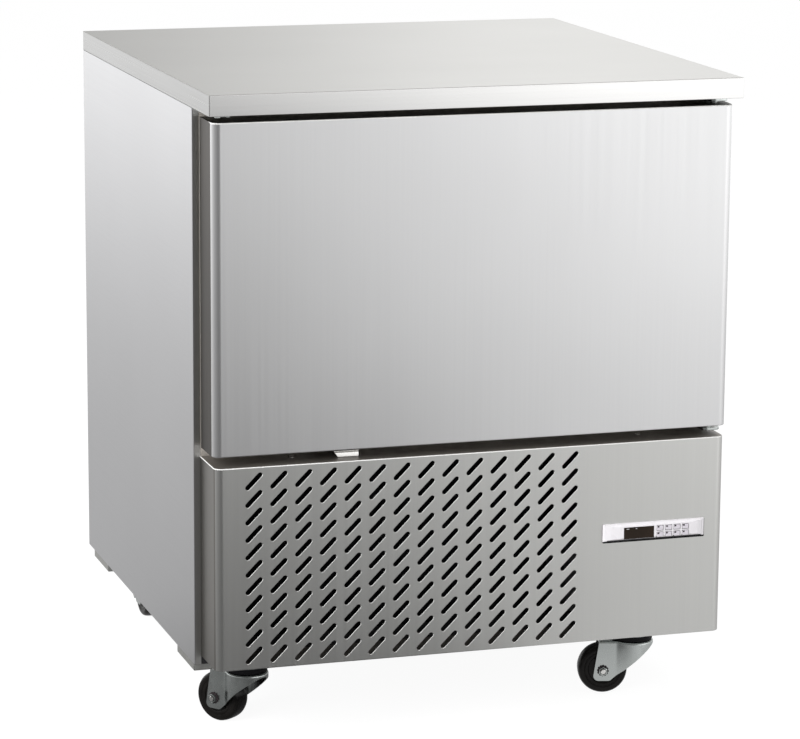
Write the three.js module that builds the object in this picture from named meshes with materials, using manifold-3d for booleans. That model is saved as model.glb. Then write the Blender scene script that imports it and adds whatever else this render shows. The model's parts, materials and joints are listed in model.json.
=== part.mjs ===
// Under-counter blast chiller on four swivel casters.
//
// Millimetres, +X to the right, +Y to the rear, +Z up. The origin is on the floor, under the
// middle of the cabinet. Every piece of the object is one named mesh in the exported group.

import * as THREE from 'three';
import { mergeVertices } from 'three/addons/utils/BufferGeometryUtils.js';
import Module from 'manifold-3d';

// ---------------------------------------------------------------------------
// Driving dimensions
// ---------------------------------------------------------------------------

// Cabinet
const WIDTH = 800;
const DEPTH = 815;
const HEIGHT = 965;
const SHEET = 1.5; // steel sheet
const GAP = 0.3; // between pieces that rest on or beside each other
const CUT_REACH = 1; // how far a cut runs past what it cuts
const WORKTOP_THICKNESS = 30;
const WORKTOP_LIP = 25; // return lips of the worktop at the sides and rear
const BODY_SETBACK = 100; // worktop front edge to the front of the body
const FACE_SETBACK = 14; // worktop front edge to the faces of door and lower panel
const SIDE_FLANGE = 10; // front flange of a side panel
const REAR_FLANGE = 20; // rear flange of a side panel
const PAN_UPSTAND = 35; // folded edge of the base pan
const RAIL_HEIGHT = 27; // front frame below the deck

// Chamber
const SIDE_INSULATION = 66;
const TOP_INSULATION = 47;
const FLOOR_INSULATION = 54;
const REAR_INSULATION = 62;
const LINER_FLANGE = 15;
const COIL_DEPTH = 58;
const COIL_SIDE_CLEARANCE = 25;
const COIL_FIN_PITCH = 20;
const COIL_FIN_DEPTH = 10;
const FIN_SHARE = 0.45; // of the fin pitch, on both coils
const FAN_SPACE = 66; // baffle to coil
const CHAMBER_FAN_DIAMETER = 250;
const GUARD_RING_PITCH = 22;
const GUARD_WIRE = 5;
const RACK_LEVEL_PITCH = 70;
const RACK_FOOT = 22; // chamber floor to the first runner
const RACK_UPRIGHT = 20;
const RUNNER_LEDGE = 38;
const RUNNER_LENGTH = 420;
const RUNNER_LEG = 14;
const RACK_SETBACK = 44; // chamber mouth to the racks
const PROBE_RADIUS = 6;
const PROBE_NECK_RADIUS = 4.2;
const PROBE_HANDLE = 120;
const PROBE_NEEDLE = 110;
const PROBE_NEEDLE_RADIUS = 1.6;
const PROBE_SETBACK = 22; // chamber mouth to the probe

// Door
const DOOR_SIDE_INSET = 8;
const DOOR_TOP_GAP = 11;
const DOOR_HEIGHT = 479;
const DOOR_PANEL_GAP = 16;
const EDGE_RADIUS = 12; // bent front edges of door and lower panel
const DOOR_REAR_GAP = 12; // door liner to the front frame
const DOOR_LINER_THICKNESS = 2;
const GASKET_INSET = 22;
const GASKET_WIDTH = 22;
const HINGE_EDGE_DISTANCE = 20; // hinge axis to the door's right edge
const HINGE_FACE_DISTANCE = 31; // hinge axis to the door's face
const HINGE_PIN_RADIUS = 5;
const HINGE_PIN_DEPTH = 14; // pin inside the door
const HINGE_PLATE = 4;
const HINGE_PLATE_WIDTH = 28;
const HINGE_LEG_HEIGHT = 40;
const HINGE_LEG_THICKNESS = 3;
const HINGE_SIDE_CLEARANCE = 2; // hinge to the door's edge and to the gasket
const PIN_CLEARANCE = 0.3;
const CATCH_WIDTH = 40;
const CATCH_LEFT_DISTANCE = 182; // door's left edge to the catch
const CATCH_DEPTH = 60;
const CATCH_HEIGHT = 12;

// Lower front panel and its controls
const PANEL_SIDE_INSET = 10;
const PANEL_BOTTOM_GAP = 12;
const SLOT_WIDTH = 7;
const SLOT_LENGTH = 33;
const SLOT_PITCH_X = 36.9;
const SLOT_PITCH_Z = 25.8;
const SLOT_LEFT_MARGIN = 57;
const SLOT_TOP_MARGIN = 21;
const SLOT_BEZEL_MARGIN = 52;
const SLOT_FIT_SHARE = 0.01; // of a pitch, by which the last slot may pass its margin
const BEZEL_RIGHT_DISTANCE = 30;
const BEZEL_TOP_DISTANCE = 122; // panel's top edge to the bezel
const BEZEL_PROTRUSION = 8;
const BEZEL_BEVEL = 3;
const BEZEL_WALL = 2.5;
const BEZEL_EDGE = 5.4; // bezel edge to display and keys, above and below
const BEZEL_LEFT_MARGIN = 31;
const BEZEL_RIGHT_MARGIN = 27;
const DISPLAY_WIDTH = 48;
const DISPLAY_THICKNESS = 1;
const DISPLAY_LEDGE = 1;
const DISPLAY_KEY_GAP = 4;
const KEY_WIDTH = 10.8;
const KEY_HEIGHT = 8.3;
const KEY_GAP_X = 2.6;
const KEY_GAP_Z = 1.6;
const KEY_COLUMNS = 4;
const KEY_ROWS = 2;
const KEY_TRAVEL = 0.6;
const KEY_PROUD = 0.8;
const KEY_FLANGE = 0.5;
const CONTROLLER_DEPTH = 44;

// Machine compartment
const CONDENSER_DEPTH = 44;
const CONDENSER_SETBACK = 22; // body front to the condenser
const CONDENSER_FIN_PITCH = 16;
const CONDENSER_FIN_DEPTH = 8;
const CONDENSER_HEAD_ROOM = 10;
const SHROUD_DEPTH = 42;
const CONDENSER_FAN_MARGIN = 30; // shroud's edge to its round opening
const FAN_BLADES = 5;
const FAN_BLADE_WIDTH = 48;
const FAN_BLADE_PITCH = 0.42; // radians
const FAN_BLADE_THICKNESS = 2;
const FAN_BLADE_ROOT = 6; // how deep a blade sits in the hub
const FAN_HUB_RADIUS = 30;
const FAN_HUB_LENGTH = 20;
const FAN_TIP_CLEARANCE = 6;
const MOTOR_RADIUS = 38;
const MOTOR_LENGTH = 26;
const MOTOR_SHAFT_RADIUS = 4;
const MOTOR_ARMS = 4;
const MOTOR_ARM = 8; // width and thickness of a motor arm
const COMPRESSOR_RADIUS = 78;
const COMPRESSOR_HEIGHT = 210;
const COMPRESSOR_FOOT = 4;
const COMPRESSOR_FOOT_X = 172;
const COMPRESSOR_FOOT_Y = 124;
const COMPRESSOR_STUB_HEIGHT = 136;
const COMPRESSOR_RIGHT_DISTANCE = 160; // cabinet side to the compressor's axis
const COMPRESSOR_REAR_DISTANCE = 271;
const STUB_RADIUS = 6;
const STUB_LENGTH = 16;
const LINE_RADIUS = 5;
const LINE_STEPS = 28;
const ELECTRICS_WIDTH = 182;
const ELECTRICS_DEPTH = 150;
const ELECTRICS_HEIGHT = 110;
const TRAY_WIDTH = 300;
const TRAY_DEPTH = 200;
const TRAY_HEIGHT = 40;
const VENT_SLOT_WIDTH = 8;
const VENT_SLOT_HEIGHT = 70;
const VENT_SLOT_PITCH = 24;
const VENT_SLOT_RISE = 18; // middle of the compartment to the foot of the slots
const VENT_MARGIN = 92;
const GLAND_RADIUS = 11;
const GLAND_BORE = 5;
const GLAND_NUT_RADIUS = 16;
const GLAND_NUT_LENGTH = 8;
const GLAND_RIGHT_DISTANCE = 60;
const GLAND_HEIGHT = 55; // above the base pan

// Casters and their channels
const CASTER_HEIGHT = 105;
const CHANNEL_HEIGHT = 12;
const CHANNEL_WIDTH = 100;
const CHANNEL_THICKNESS = 3;
const FRONT_KINGPIN_SETBACK = 157; // worktop front edge to the front kingpins
const REAR_KINGPIN_DISTANCE = 90; // rear of the cabinet to the rear kingpins
const KINGPIN_SIDE_DISTANCE = 94;
const WHEEL_DIAMETER = 76;
const WHEEL_WIDTH = 32;
const HUB_WIDTH = 36;
const AXLE_RADIUS = 4;
const AXLE_NUT_RADIUS = 7.5;
const AXLE_NUT_THICKNESS = 7.5;
const CASTER_TRAIL = 46;
const CASTER_PLATE_X = 100;
const CASTER_PLATE_Y = 84;
const CASTER_PLATE_THICKNESS = 3;
const RACEWAY_RADIUS = 27;
const RACEWAY_HEIGHT = 17;
const KINGPIN_RADIUS = 6;
const KINGPIN_HEAD_RADIUS = 10;
const KINGPIN_HEAD = 4;
const FORK_SHEET = 3;
const FORK_RADIUS = 32;
const FORK_TOP = 4;
const FORK_REAR_REACH = 23; // kingpin to a leg's rear edge
const FORK_REAR_DEPTH = 13; // top of the fork to the foot of that edge
const FORK_FRONT_REACH = 6; // axle to a leg's front edge, at its top
const FORK_NOSE_REACH = 14.5; // axle to the same edge at its foot
const FORK_NOSE_DEPTH = 16.5; // axle to a leg's lower edge
const FORK_NOSE_RADIUS = 8;
const FORK_HEEL_REACH = 11; // axle to the rear end of that lower edge
const WHEEL_HUB_RADIUS = 10.5;
const WHEEL_RIM_RADIUS = 30;
const WHEEL_DISH = 2; // web of the wheel behind the face of its rim
const WHEEL_SHOULDER = 6; // rounding of the tread

// Where each caster points: the direction from its kingpin to its wheel, in degrees.
const CASTERS = [
  { name: 'front_left', side: -1, end: 'front', heading: 127 },
  { name: 'front_right', side: 1, end: 'front', heading: 164 },
  { name: 'rear_left', side: -1, end: 'rear', heading: 92 },
  { name: 'rear_right', side: 1, end: 'rear', heading: 70 },
];

// Compressor can from its foot up: share of the radius, share of the height.
const COMPRESSOR_PROFILE = [
  [0, 0],
  [0.75, 0],
  [1, 0.12],
  [1, 0.5],
  [0.96, 0.52],
  [0.96, 0.78],
  [0.72, 0.95],
  [0, 1],
];

const ROUND = 24; // sides of a round piece
const COARSE = 16; // sides of a small round piece

// ---------------------------------------------------------------------------
// Places worked out from the driving dimensions
// ---------------------------------------------------------------------------

const side = WIDTH / 2;
const frontY = -DEPTH / 2;
const rearY = DEPTH / 2;
const bodyFrontY = frontY + BODY_SETBACK;
const faceY = frontY + FACE_SETBACK;
const bodyBottom = CASTER_HEIGHT + CHANNEL_HEIGHT;
const bodyTop = HEIGHT - WORKTOP_THICKNESS;
const innerSide = side - SHEET - GAP; // what fits between the side panels
const flangeInner = side - SIDE_FLANGE - GAP; // what fits between their front flanges
const rearSheetY = rearY - 2 * SHEET - GAP; // inner face of the rear panel

const doorSide = side - DOOR_SIDE_INSET;
const doorTop = bodyTop - DOOR_TOP_GAP;
const doorBottom = doorTop - DOOR_HEIGHT;
const doorRearY = bodyFrontY - DOOR_REAR_GAP;
const hingeX = doorSide - HINGE_EDGE_DISTANCE;
const hingeY = faceY + HINGE_FACE_DISTANCE;

const panelSide = side - PANEL_SIDE_INSET;
const panelTop = doorBottom - DOOR_PANEL_GAP;
const panelBottom = bodyBottom + PANEL_BOTTOM_GAP;

const deckBottom = panelTop + GAP;
const panFloor = bodyBottom + SHEET + GAP; // what stands on the base pan starts here
const insulationBottom = deckBottom + SHEET + GAP;
const chamberFloor = insulationBottom + FLOOR_INSULATION;
const chamberTop = bodyTop - TOP_INSULATION;
const chamberSide = innerSide - SIDE_INSULATION;
const chamberFrontY = bodyFrontY + SHEET + GAP;
const chamberRearY = rearSheetY - REAR_INSULATION;
const coilFrontY = chamberRearY - GAP - COIL_DEPTH;
const baffleY = coilFrontY - FAN_SPACE;
const chamberMiddleZ = (chamberFloor + chamberTop) / 2;

const bezelKeysWidth = KEY_COLUMNS * KEY_WIDTH + (KEY_COLUMNS - 1) * KEY_GAP_X;
const bezelKeysHeight = KEY_ROWS * KEY_HEIGHT + (KEY_ROWS - 1) * KEY_GAP_Z;
const bezelMargins = BEZEL_LEFT_MARGIN + BEZEL_RIGHT_MARGIN;
const bezelWidth = bezelMargins + DISPLAY_WIDTH + DISPLAY_KEY_GAP + bezelKeysWidth;
const bezelHeight = bezelKeysHeight + 2 * BEZEL_EDGE;
const bezelRight = panelSide - BEZEL_RIGHT_DISTANCE;
const bezelLeft = bezelRight - bezelWidth;
const bezelTop = panelTop - BEZEL_TOP_DISTANCE;
const bezelBottom = bezelTop - bezelHeight;
const bezelFrontY = faceY - BEZEL_PROTRUSION;
const controllerFrontY = faceY - GAP - 2 * KEY_TRAVEL;

const slotLeft = -panelSide + SLOT_LEFT_MARGIN;
const slotRight = bezelLeft - SLOT_BEZEL_MARGIN;
const slotTop = panelTop - SLOT_TOP_MARGIN;
const slotBottom = panelBottom + SLOT_TOP_MARGIN;

const condenserY = bodyFrontY + SHEET + CONDENSER_SETBACK;
const condenserTop = deckBottom - CONDENSER_HEAD_ROOM;
const condenserLeft = Math.max(slotLeft, GAP - innerSide);
const condenserX = (condenserLeft + slotRight) / 2;
const condenserZ = (panFloor + condenserTop) / 2;
const condenserFanDiameter = condenserTop - panFloor - 2 * CONDENSER_FAN_MARGIN;
const shroudY = condenserY + CONDENSER_DEPTH + GAP;
const shroudRearY = shroudY + SHROUD_DEPTH;

const compressorX = side - COMPRESSOR_RIGHT_DISTANCE;
const compressorY = rearY - COMPRESSOR_REAR_DISTANCE;

const glandX = innerSide - GLAND_RIGHT_DISTANCE;
const glandZ = panFloor + GLAND_HEIGHT;

const frontKingpinY = frontY + FRONT_KINGPIN_SETBACK;
const rearKingpinY = rearY - REAR_KINGPIN_DISTANCE;
const kingpinX = side - KINGPIN_SIDE_DISTANCE;
const wheelRadius = WHEEL_DIAMETER / 2;
const plateTop = CASTER_HEIGHT - GAP;
const racewayBottom = plateTop - CASTER_PLATE_THICKNESS - RACEWAY_HEIGHT;
const forkTop = racewayBottom - GAP;
const forkUnder = forkTop - FORK_TOP;

// ---------------------------------------------------------------------------
// Materials
// ---------------------------------------------------------------------------

const finish = (color, roughness, metalness) => ({ color, roughness, metalness });
const FINISHES = {
  brushedSteel: finish(0xb9b9b5, 0.34, 0.95),
  galvanised: finish(0xa2a6a2, 0.42, 0.9),
  zinc: finish(0x9aa09c, 0.3, 0.9),
  whitePlastic: finish(0xe9e7ee, 0.4, 0),
  keyGrey: finish(0xcfccd8, 0.45, 0),
  darkGlass: finish(0x1b1512, 0.12, 0),
  blackPlastic: finish(0x141414, 0.5, 0),
  greyRubber: finish(0x3b3a38, 0.75, 0),
  foam: finish(0xe3d7ae, 0.9, 0),
  aluminium: finish(0xc4c6c8, 0.4, 0.9),
  copper: finish(0xb87346, 0.3, 0.95),
  blackPaint: finish(0x16171a, 0.45, 0.1),
};

// ---------------------------------------------------------------------------
// Geometry helpers
// ---------------------------------------------------------------------------

const wasm = await Module();
wasm.setup();

/** Turns a closed three.js geometry into a solid. */
function toSolid(geometry) {
  const bare = geometry.clone();
  bare.deleteAttribute('normal');
  bare.deleteAttribute('uv');
  const merged = mergeVertices(bare, 1e-4);
  return new wasm.Manifold(
    new wasm.Mesh({
      numProp: 3,
      vertProperties: Float32Array.from(merged.attributes.position.array),
      triVerts: Uint32Array.from(merged.index.array),
    })
  );
}

/** Turns a solid back into a three.js geometry. */
function toGeometry(solid) {
  const mesh = solid.getMesh();
  const geometry = new THREE.BufferGeometry();
  geometry.setAttribute('position', new THREE.BufferAttribute(mesh.vertProperties, 3));
  geometry.setIndex(new THREE.BufferAttribute(mesh.triVerts, 1));
  return geometry;
}

/** Joins closed geometries into one body. */
function join(...geometries) {
  return toGeometry(geometries.map(toSolid).reduce((sum, solid) => sum.add(solid)));
}

/** Cuts every tool out of a geometry. */
function cut(geometry, ...tools) {
  return toGeometry(tools.map(toSolid).reduce((left, tool) => left.subtract(tool), toSolid(geometry)));
}

/** A range that runs past both of its ends, for cuts. */
function past([from, to]) {
  return [from - CUT_REACH, to + CUT_REACH];
}

/** A box between two limits along each axis. */
function block([x0, x1], [y0, y1], [z0, z1]) {
  const geometry = new THREE.BoxGeometry(x1 - x0, y1 - y0, z1 - z0);
  return geometry.translate((x0 + x1) / 2, (y0 + y1) / 2, (z0 + z1) / 2);
}

/** Extrudes a shape drawn across an axis: x takes (y, z), y takes (x, z) and z takes (x, y). */
function prism(shape, axis, [from, to], curveSegments = 3) {
  const geometry = new THREE.ExtrudeGeometry(shape, { depth: to - from, bevelEnabled: false, curveSegments });
  const basis = new THREE.Matrix4();
  const [x, y, z] = [new THREE.Vector3(1, 0, 0), new THREE.Vector3(0, 1, 0), new THREE.Vector3(0, 0, 1)];
  if (axis === 'x') {
    geometry.applyMatrix4(basis.makeBasis(y, z, x)).translate(from, 0, 0);
  } else if (axis === 'y') {
    geometry.applyMatrix4(basis.makeBasis(x, z, y.clone().negate())).translate(0, to, 0);
  } else {
    geometry.translate(0, 0, from);
  }
  return geometry;
}

/** A closed outline from a list of points. */
function outline(points) {
  return new THREE.Shape(points.map(([u, v]) => new THREE.Vector2(u, v)));
}

/** A rod along an axis between two places, round its own centre line at (u, v). */
function rod(radius, axis, [from, to], [u, v], sides = COARSE) {
  const circle = new THREE.Shape().absarc(0, 0, radius, 0, 2 * Math.PI, false);
  const geometry = prism(circle, axis, [from, to], sides / 2);
  if (axis === 'x') return geometry.translate(0, u, v);
  if (axis === 'y') return geometry.translate(u, 0, v);
  return geometry.translate(u, v, 0);
}

/** A body turned about the Y axis from a profile of [radius, y] points. */
function turned(profile, sides = ROUND) {
  return new THREE.LatheGeometry(profile.map(([r, y]) => new THREE.Vector2(r, y)), sides);
}

/** A folded pan, open to the rear, with its two upright front edges bent to a radius. */
function foldedPan(halfWidth, [front, rear], [bottom, top], radius) {
  const plan = (half, y, r, back) => {
    const shape = new THREE.Shape();
    shape.moveTo(half, back);
    shape.lineTo(-half, back);
    shape.lineTo(-half, y + r);
    shape.absarc(-half + r, y + r, r, Math.PI, 1.5 * Math.PI, false);
    shape.lineTo(half - r, y);
    shape.absarc(half - r, y + r, r, 1.5 * Math.PI, 2 * Math.PI, false);
    return shape;
  };
  const outer = prism(plan(halfWidth, front, radius, rear), 'z', [bottom, top], 4);
  const innerPlan = plan(halfWidth - SHEET, front + SHEET, radius - SHEET, rear + SHEET);
  return cut(outer, prism(innerPlan, 'z', [bottom + SHEET, top - SHEET], 4));
}

/** A plate with fins along its front, standing upright between two heights. */
function finnedBlock([left, right], [front, rear], [bottom, top], pitch, finDepth) {
  const fins = Math.floor((right - left) / pitch);
  const step = (right - left) / fins;
  const points = [[right, rear], [left, rear], [left, front]];
  for (let i = 0; i < fins; i += 1) {
    const x = left + i * step;
    const edge = x + step * FIN_SHARE;
    points.push([edge, front], [edge, front + finDepth]);
    if (i < fins - 1) points.push([x + step, front + finDepth], [x + step, front]);
  }
  points.push([right, front + finDepth]);
  return prism(outline(points.reverse()), 'z', [bottom, top]);
}

// ---------------------------------------------------------------------------
// The exported group
// ---------------------------------------------------------------------------

const blastChiller = new THREE.Group();

/** Adds one piece to a group. */
function add(name, geometry, finishName, parent = blastChiller) {
  const mesh = new THREE.Mesh(geometry, new THREE.MeshStandardMaterial(FINISHES[finishName]));
  mesh.name = name;
  parent.add(mesh);
  return mesh;
}

// ---------------------------------------------------------------------------
// Cabinet
// ---------------------------------------------------------------------------

/** Worktop: a folded tray upside down, its underside closed over the overhang at the front. */
function worktop() {
  const outer = block([-side, side], [frontY, rearY], [bodyTop, HEIGHT]);
  const hollow = block(
    [-side + SHEET, side - SHEET],
    [frontY + SHEET, rearY - SHEET],
    [bodyTop + SHEET, HEIGHT - SHEET]
  );
  const opening = block(
    [-side + WORKTOP_LIP, side - WORKTOP_LIP],
    [bodyFrontY + WORKTOP_LIP, rearY - WORKTOP_LIP],
    [bodyTop - SHEET, bodyTop + 2 * SHEET]
  );
  return cut(outer, hollow, opening);
}

/** Side panel with a narrow front flange and a wider rear flange. */
function sidePanel(sign) {
  const points = [
    [side, bodyFrontY],
    [side, rearY],
    [side - REAR_FLANGE, rearY],
    [side - REAR_FLANGE, rearY - SHEET],
    [side - SHEET, rearY - SHEET],
    [side - SHEET, bodyFrontY + SHEET],
    [side - SIDE_FLANGE, bodyFrontY + SHEET],
    [side - SIDE_FLANGE, bodyFrontY],
  ];
  const placed = points.map(([x, y]) => [sign * x, y]);
  if (sign < 0) placed.reverse();
  return prism(outline(placed), 'z', [bodyBottom, bodyTop - GAP]);
}

/** Ring-shaped front frame that the door's gasket seals against. */
function frontFrame() {
  const plate = block(
    [-flangeInner, flangeInner],
    [bodyFrontY, bodyFrontY + SHEET],
    [deckBottom - RAIL_HEIGHT, bodyTop - GAP]
  );
  const mouth = block(
    [-chamberSide, chamberSide],
    [bodyFrontY - SHEET, bodyFrontY + 2 * SHEET],
    [chamberFloor, chamberTop]
  );
  return cut(plate, mouth);
}

/** Chamber liner: a five-sided box with a flange round its mouth. */
function innerLiner() {
  const reach = SHEET + LINER_FLANGE;
  const flange = block(
    [-chamberSide - reach, chamberSide + reach],
    [chamberFrontY, chamberFrontY + SHEET],
    [chamberFloor - reach, chamberTop + reach]
  );
  const box = block(
    [-chamberSide - SHEET, chamberSide + SHEET],
    [chamberFrontY, chamberRearY + SHEET],
    [chamberFloor - SHEET, chamberTop + SHEET]
  );
  const inside = block(
    [-chamberSide, chamberSide],
    [chamberFrontY - SHEET, chamberRearY],
    [chamberFloor, chamberTop]
  );
  return cut(join(flange, box), inside);
}

/** Insulation between the liner and the outer sheets. */
function insulation() {
  const front = chamberFrontY + SHEET + GAP;
  const body = block([-innerSide, innerSide], [front, rearSheetY - GAP], [insulationBottom, bodyTop - GAP]);
  const clear = SHEET + GAP;
  const pocket = block(
    [-chamberSide - clear, chamberSide + clear],
    [front - SHEET, chamberRearY + clear],
    [chamberFloor - clear, chamberTop + clear]
  );
  return cut(body, pocket);
}

/** Rear panel of the insulated body. */
function rearPanel() {
  return block([-innerSide, innerSide], [rearSheetY, rearSheetY + SHEET], [deckBottom, bodyTop - GAP]);
}

/** Rear vent grille: a sheet with a row of upright slots and the hole of the cord gland. */
function rearGrille() {
  const [bottom, top] = [panFloor, deckBottom - GAP];
  const sheet = block([-innerSide, innerSide], [rearSheetY, rearSheetY + SHEET], [bottom, top]);
  const slotFoot = (bottom + top) / 2 + VENT_SLOT_RISE;
  const slotSpan = [slotFoot, slotFoot + VENT_SLOT_HEIGHT];
  const through = past([rearSheetY, rearSheetY + SHEET]);
  const tools = [rod(GLAND_RADIUS + GAP, 'y', through, [glandX, glandZ])];
  const halfField = innerSide - VENT_MARGIN;
  const columns = Math.floor((2 * halfField) / VENT_SLOT_PITCH);
  for (let i = 0; i <= columns; i += 1) {
    const x = -halfField + i * VENT_SLOT_PITCH;
    tools.push(block([x - VENT_SLOT_WIDTH / 2, x + VENT_SLOT_WIDTH / 2], through, slotSpan));
  }
  return cut(sheet, ...tools);
}

/** Base pan: the floor of the machine compartment, folded up at front and rear. */
function basePan() {
  const front = bodyFrontY;
  const rear = rearSheetY - GAP;
  const floor = [bodyBottom, bodyBottom + SHEET];
  const upstand = [bodyBottom, bodyBottom + PAN_UPSTAND];
  return join(
    block([-innerSide, innerSide], [front + SHEET + GAP, rear], floor),
    block([-flangeInner, flangeInner], [front, front + 2 * SHEET], floor),
    block([-flangeInner, flangeInner], [front, front + SHEET], upstand),
    block([-innerSide, innerSide], [rear - SHEET, rear], upstand)
  );
}

/** Deck between the machine compartment and the insulated body. */
function machineDeck() {
  const front = bodyFrontY + SHEET + GAP;
  return block([-innerSide, innerSide], [front, rearSheetY - GAP], [deckBottom, deckBottom + SHEET]);
}

/** Channel under the body, closed at both ends, that carries a pair of casters. */
function casterChannel(y) {
  const [bottom, top] = [CASTER_HEIGHT, bodyBottom - GAP];
  const half = CHANNEL_WIDTH / 2;
  const points = [
    [y - half, bottom],
    [y + half, bottom],
    [y + half, top],
    [y + half - CHANNEL_THICKNESS, top],
    [y + half - CHANNEL_THICKNESS, bottom + CHANNEL_THICKNESS],
    [y - half + CHANNEL_THICKNESS, bottom + CHANNEL_THICKNESS],
    [y - half + CHANNEL_THICKNESS, top],
    [y - half, top],
  ];
  const ends = [
    [-side + GAP, -side + GAP + CHANNEL_THICKNESS],
    [side - GAP - CHANNEL_THICKNESS, side - GAP],
  ];
  const caps = ends.map((end) => block(end, [y - half, y + half], [bottom, top]));
  return join(prism(outline(points), 'x', [-side + GAP, side - GAP]), ...caps);
}

add('worktop', worktop(), 'brushedSteel');
add('left_side_panel', sidePanel(-1), 'brushedSteel');
add('right_side_panel', sidePanel(1), 'brushedSteel');
add('rear_panel', rearPanel(), 'galvanised');
add('rear_grille', rearGrille(), 'galvanised');
add('front_frame', frontFrame(), 'brushedSteel');
add('inner_liner', innerLiner(), 'brushedSteel');
add('insulation', insulation(), 'foam');
add('machine_deck', machineDeck(), 'galvanised');
add('base_pan', basePan(), 'galvanised');
add('front_channel', casterChannel(frontKingpinY), 'galvanised');
add('rear_channel', casterChannel(rearKingpinY), 'galvanised');

// ---------------------------------------------------------------------------
// Chamber
// ---------------------------------------------------------------------------

/** Fan with pitched blades on a bored hub, turning about the Y axis. */
function fan(diameter) {
  const half = FAN_HUB_LENGTH / 2;
  const bore = MOTOR_SHAFT_RADIUS + PIN_CLEARANCE;
  const hub = turned([
    [bore, -half],
    [FAN_HUB_RADIUS, -half],
    [FAN_HUB_RADIUS, half],
    [bore, half],
    [bore, -half],
  ]);
  const inner = FAN_HUB_RADIUS - FAN_BLADE_ROOT;
  const reach = diameter / 2 - inner;
  const blades = [];
  for (let i = 0; i < FAN_BLADES; i += 1) {
    const blade = new THREE.BoxGeometry(reach, FAN_BLADE_THICKNESS, FAN_BLADE_WIDTH);
    blade.rotateX(FAN_BLADE_PITCH).translate(inner + reach / 2, 0, 0);
    blades.push(blade.rotateY((i * 2 * Math.PI) / FAN_BLADES));
  }
  return join(hub, ...blades);
}

/** Fan motor: a can with its shaft to the front and four arms out to the sheet before it. */
function fanMotor(fanDiameter, seat) {
  const hubRear = FAN_HUB_LENGTH / 2;
  const canFront = hubRear + FAN_TIP_CLEARANCE / 2;
  const canRear = canFront + MOTOR_LENGTH;
  const armRadius = fanDiameter / 2 + FAN_TIP_CLEARANCE + MOTOR_ARM;
  const half = MOTOR_ARM / 2;
  const parts = [
    rod(MOTOR_RADIUS, 'y', [canFront, canRear], [0, 0], ROUND),
    rod(MOTOR_SHAFT_RADIUS, 'y', [-hubRear, canRear], [0, 0]),
  ];
  for (let i = 0; i < MOTOR_ARMS; i += 1) {
    const arm = join(
      block([MOTOR_RADIUS - half, armRadius], [canRear - MOTOR_ARM, canRear], [-half, half]),
      block([armRadius - MOTOR_ARM, armRadius], [seat, canRear], [-half, half])
    );
    parts.push(arm.rotateY(((i + 0.5) * 2 * Math.PI) / MOTOR_ARMS));
  }
  return join(...parts);
}

/** Ring-shaped slots of a fan guard, with a cross of solid bars left between them. */
function guardSlots(diameter, through) {
  const tools = [];
  const bar = GUARD_WIRE / 2;
  const longer = past(through);
  for (let outer = diameter / 2; outer - GUARD_RING_PITCH > FAN_HUB_RADIUS; outer -= GUARD_RING_PITCH) {
    const ring = new THREE.Shape().absarc(0, 0, outer, 0, 2 * Math.PI, false);
    const core = new THREE.Path().absarc(0, 0, outer - GUARD_RING_PITCH + GUARD_WIRE, 0, 2 * Math.PI, true);
    ring.holes.push(core);
    const bars = [
      block(past([-outer, outer]), longer, [-bar, bar]),
      block([-bar, bar], longer, past([-outer, outer])),
    ];
    tools.push(cut(prism(ring, 'y', through, ROUND / 2), ...bars));
  }
  return tools;
}

/** Fan baffle across the chamber, in front of the evaporator. */
function fanBaffle() {
  const width = chamberSide - GAP;
  const [bottom, top] = [chamberFloor + GAP, chamberTop - GAP];
  const sheet = block([-width, width], [baffleY, baffleY + SHEET], [bottom, top]);
  const through = past([baffleY, baffleY + SHEET]);
  const slots = guardSlots(CHAMBER_FAN_DIAMETER, through);
  return cut(sheet, ...slots.map((slot) => slot.translate(0, 0, chamberMiddleZ)));
}

/** Pan rack: two uprights on the chamber wall and an L-shaped runner for each level. */
function panRack(sign) {
  const wall = chamberSide - GAP;
  const web = wall - SHEET;
  const frontEnd = chamberFrontY + RACK_SETBACK;
  const rearEnd = Math.min(frontEnd + RUNNER_LENGTH, baffleY - RACK_SETBACK / 2);
  const foot = chamberFloor + RACK_FOOT;
  const levels = Math.floor((chamberTop - foot - RUNNER_LEG) / RACK_LEVEL_PITCH);
  const rackTop = foot + (levels - 1) * RACK_LEVEL_PITCH + RUNNER_LEG;
  const span = (a, b) => (sign > 0 ? [a, b] : [-b, -a]);
  const parts = [
    block(span(web, wall), [frontEnd, frontEnd + RACK_UPRIGHT], [chamberFloor + GAP, rackTop]),
    block(span(web, wall), [rearEnd - RACK_UPRIGHT, rearEnd], [chamberFloor + GAP, rackTop]),
  ];
  for (let i = 0; i < levels; i += 1) {
    const z = foot + i * RACK_LEVEL_PITCH;
    parts.push(
      block(span(web - SHEET, web), [frontEnd, rearEnd], [z, z + RUNNER_LEG]),
      block(span(web - RUNNER_LEDGE, web), [frontEnd, rearEnd], [z, z + SHEET])
    );
  }
  return join(...parts);
}

/** Core temperature probe: a round handle over a thin needle. */
function coreProbe() {
  const bend = PROBE_NEEDLE_RADIUS;
  return turned(
    [
      [0, -PROBE_NEEDLE],
      [bend, -PROBE_NEEDLE + 2 * bend],
      [bend, 0],
      [PROBE_NECK_RADIUS, 0],
      [PROBE_RADIUS, PROBE_RADIUS],
      [PROBE_RADIUS, PROBE_HANDLE],
      [0, PROBE_HANDLE],
    ],
    COARSE
  ).rotateX(Math.PI / 2);
}

const probeX = chamberSide - GAP - 3 * PROBE_RADIUS;
const probeY = chamberFrontY + PROBE_SETBACK;

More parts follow.
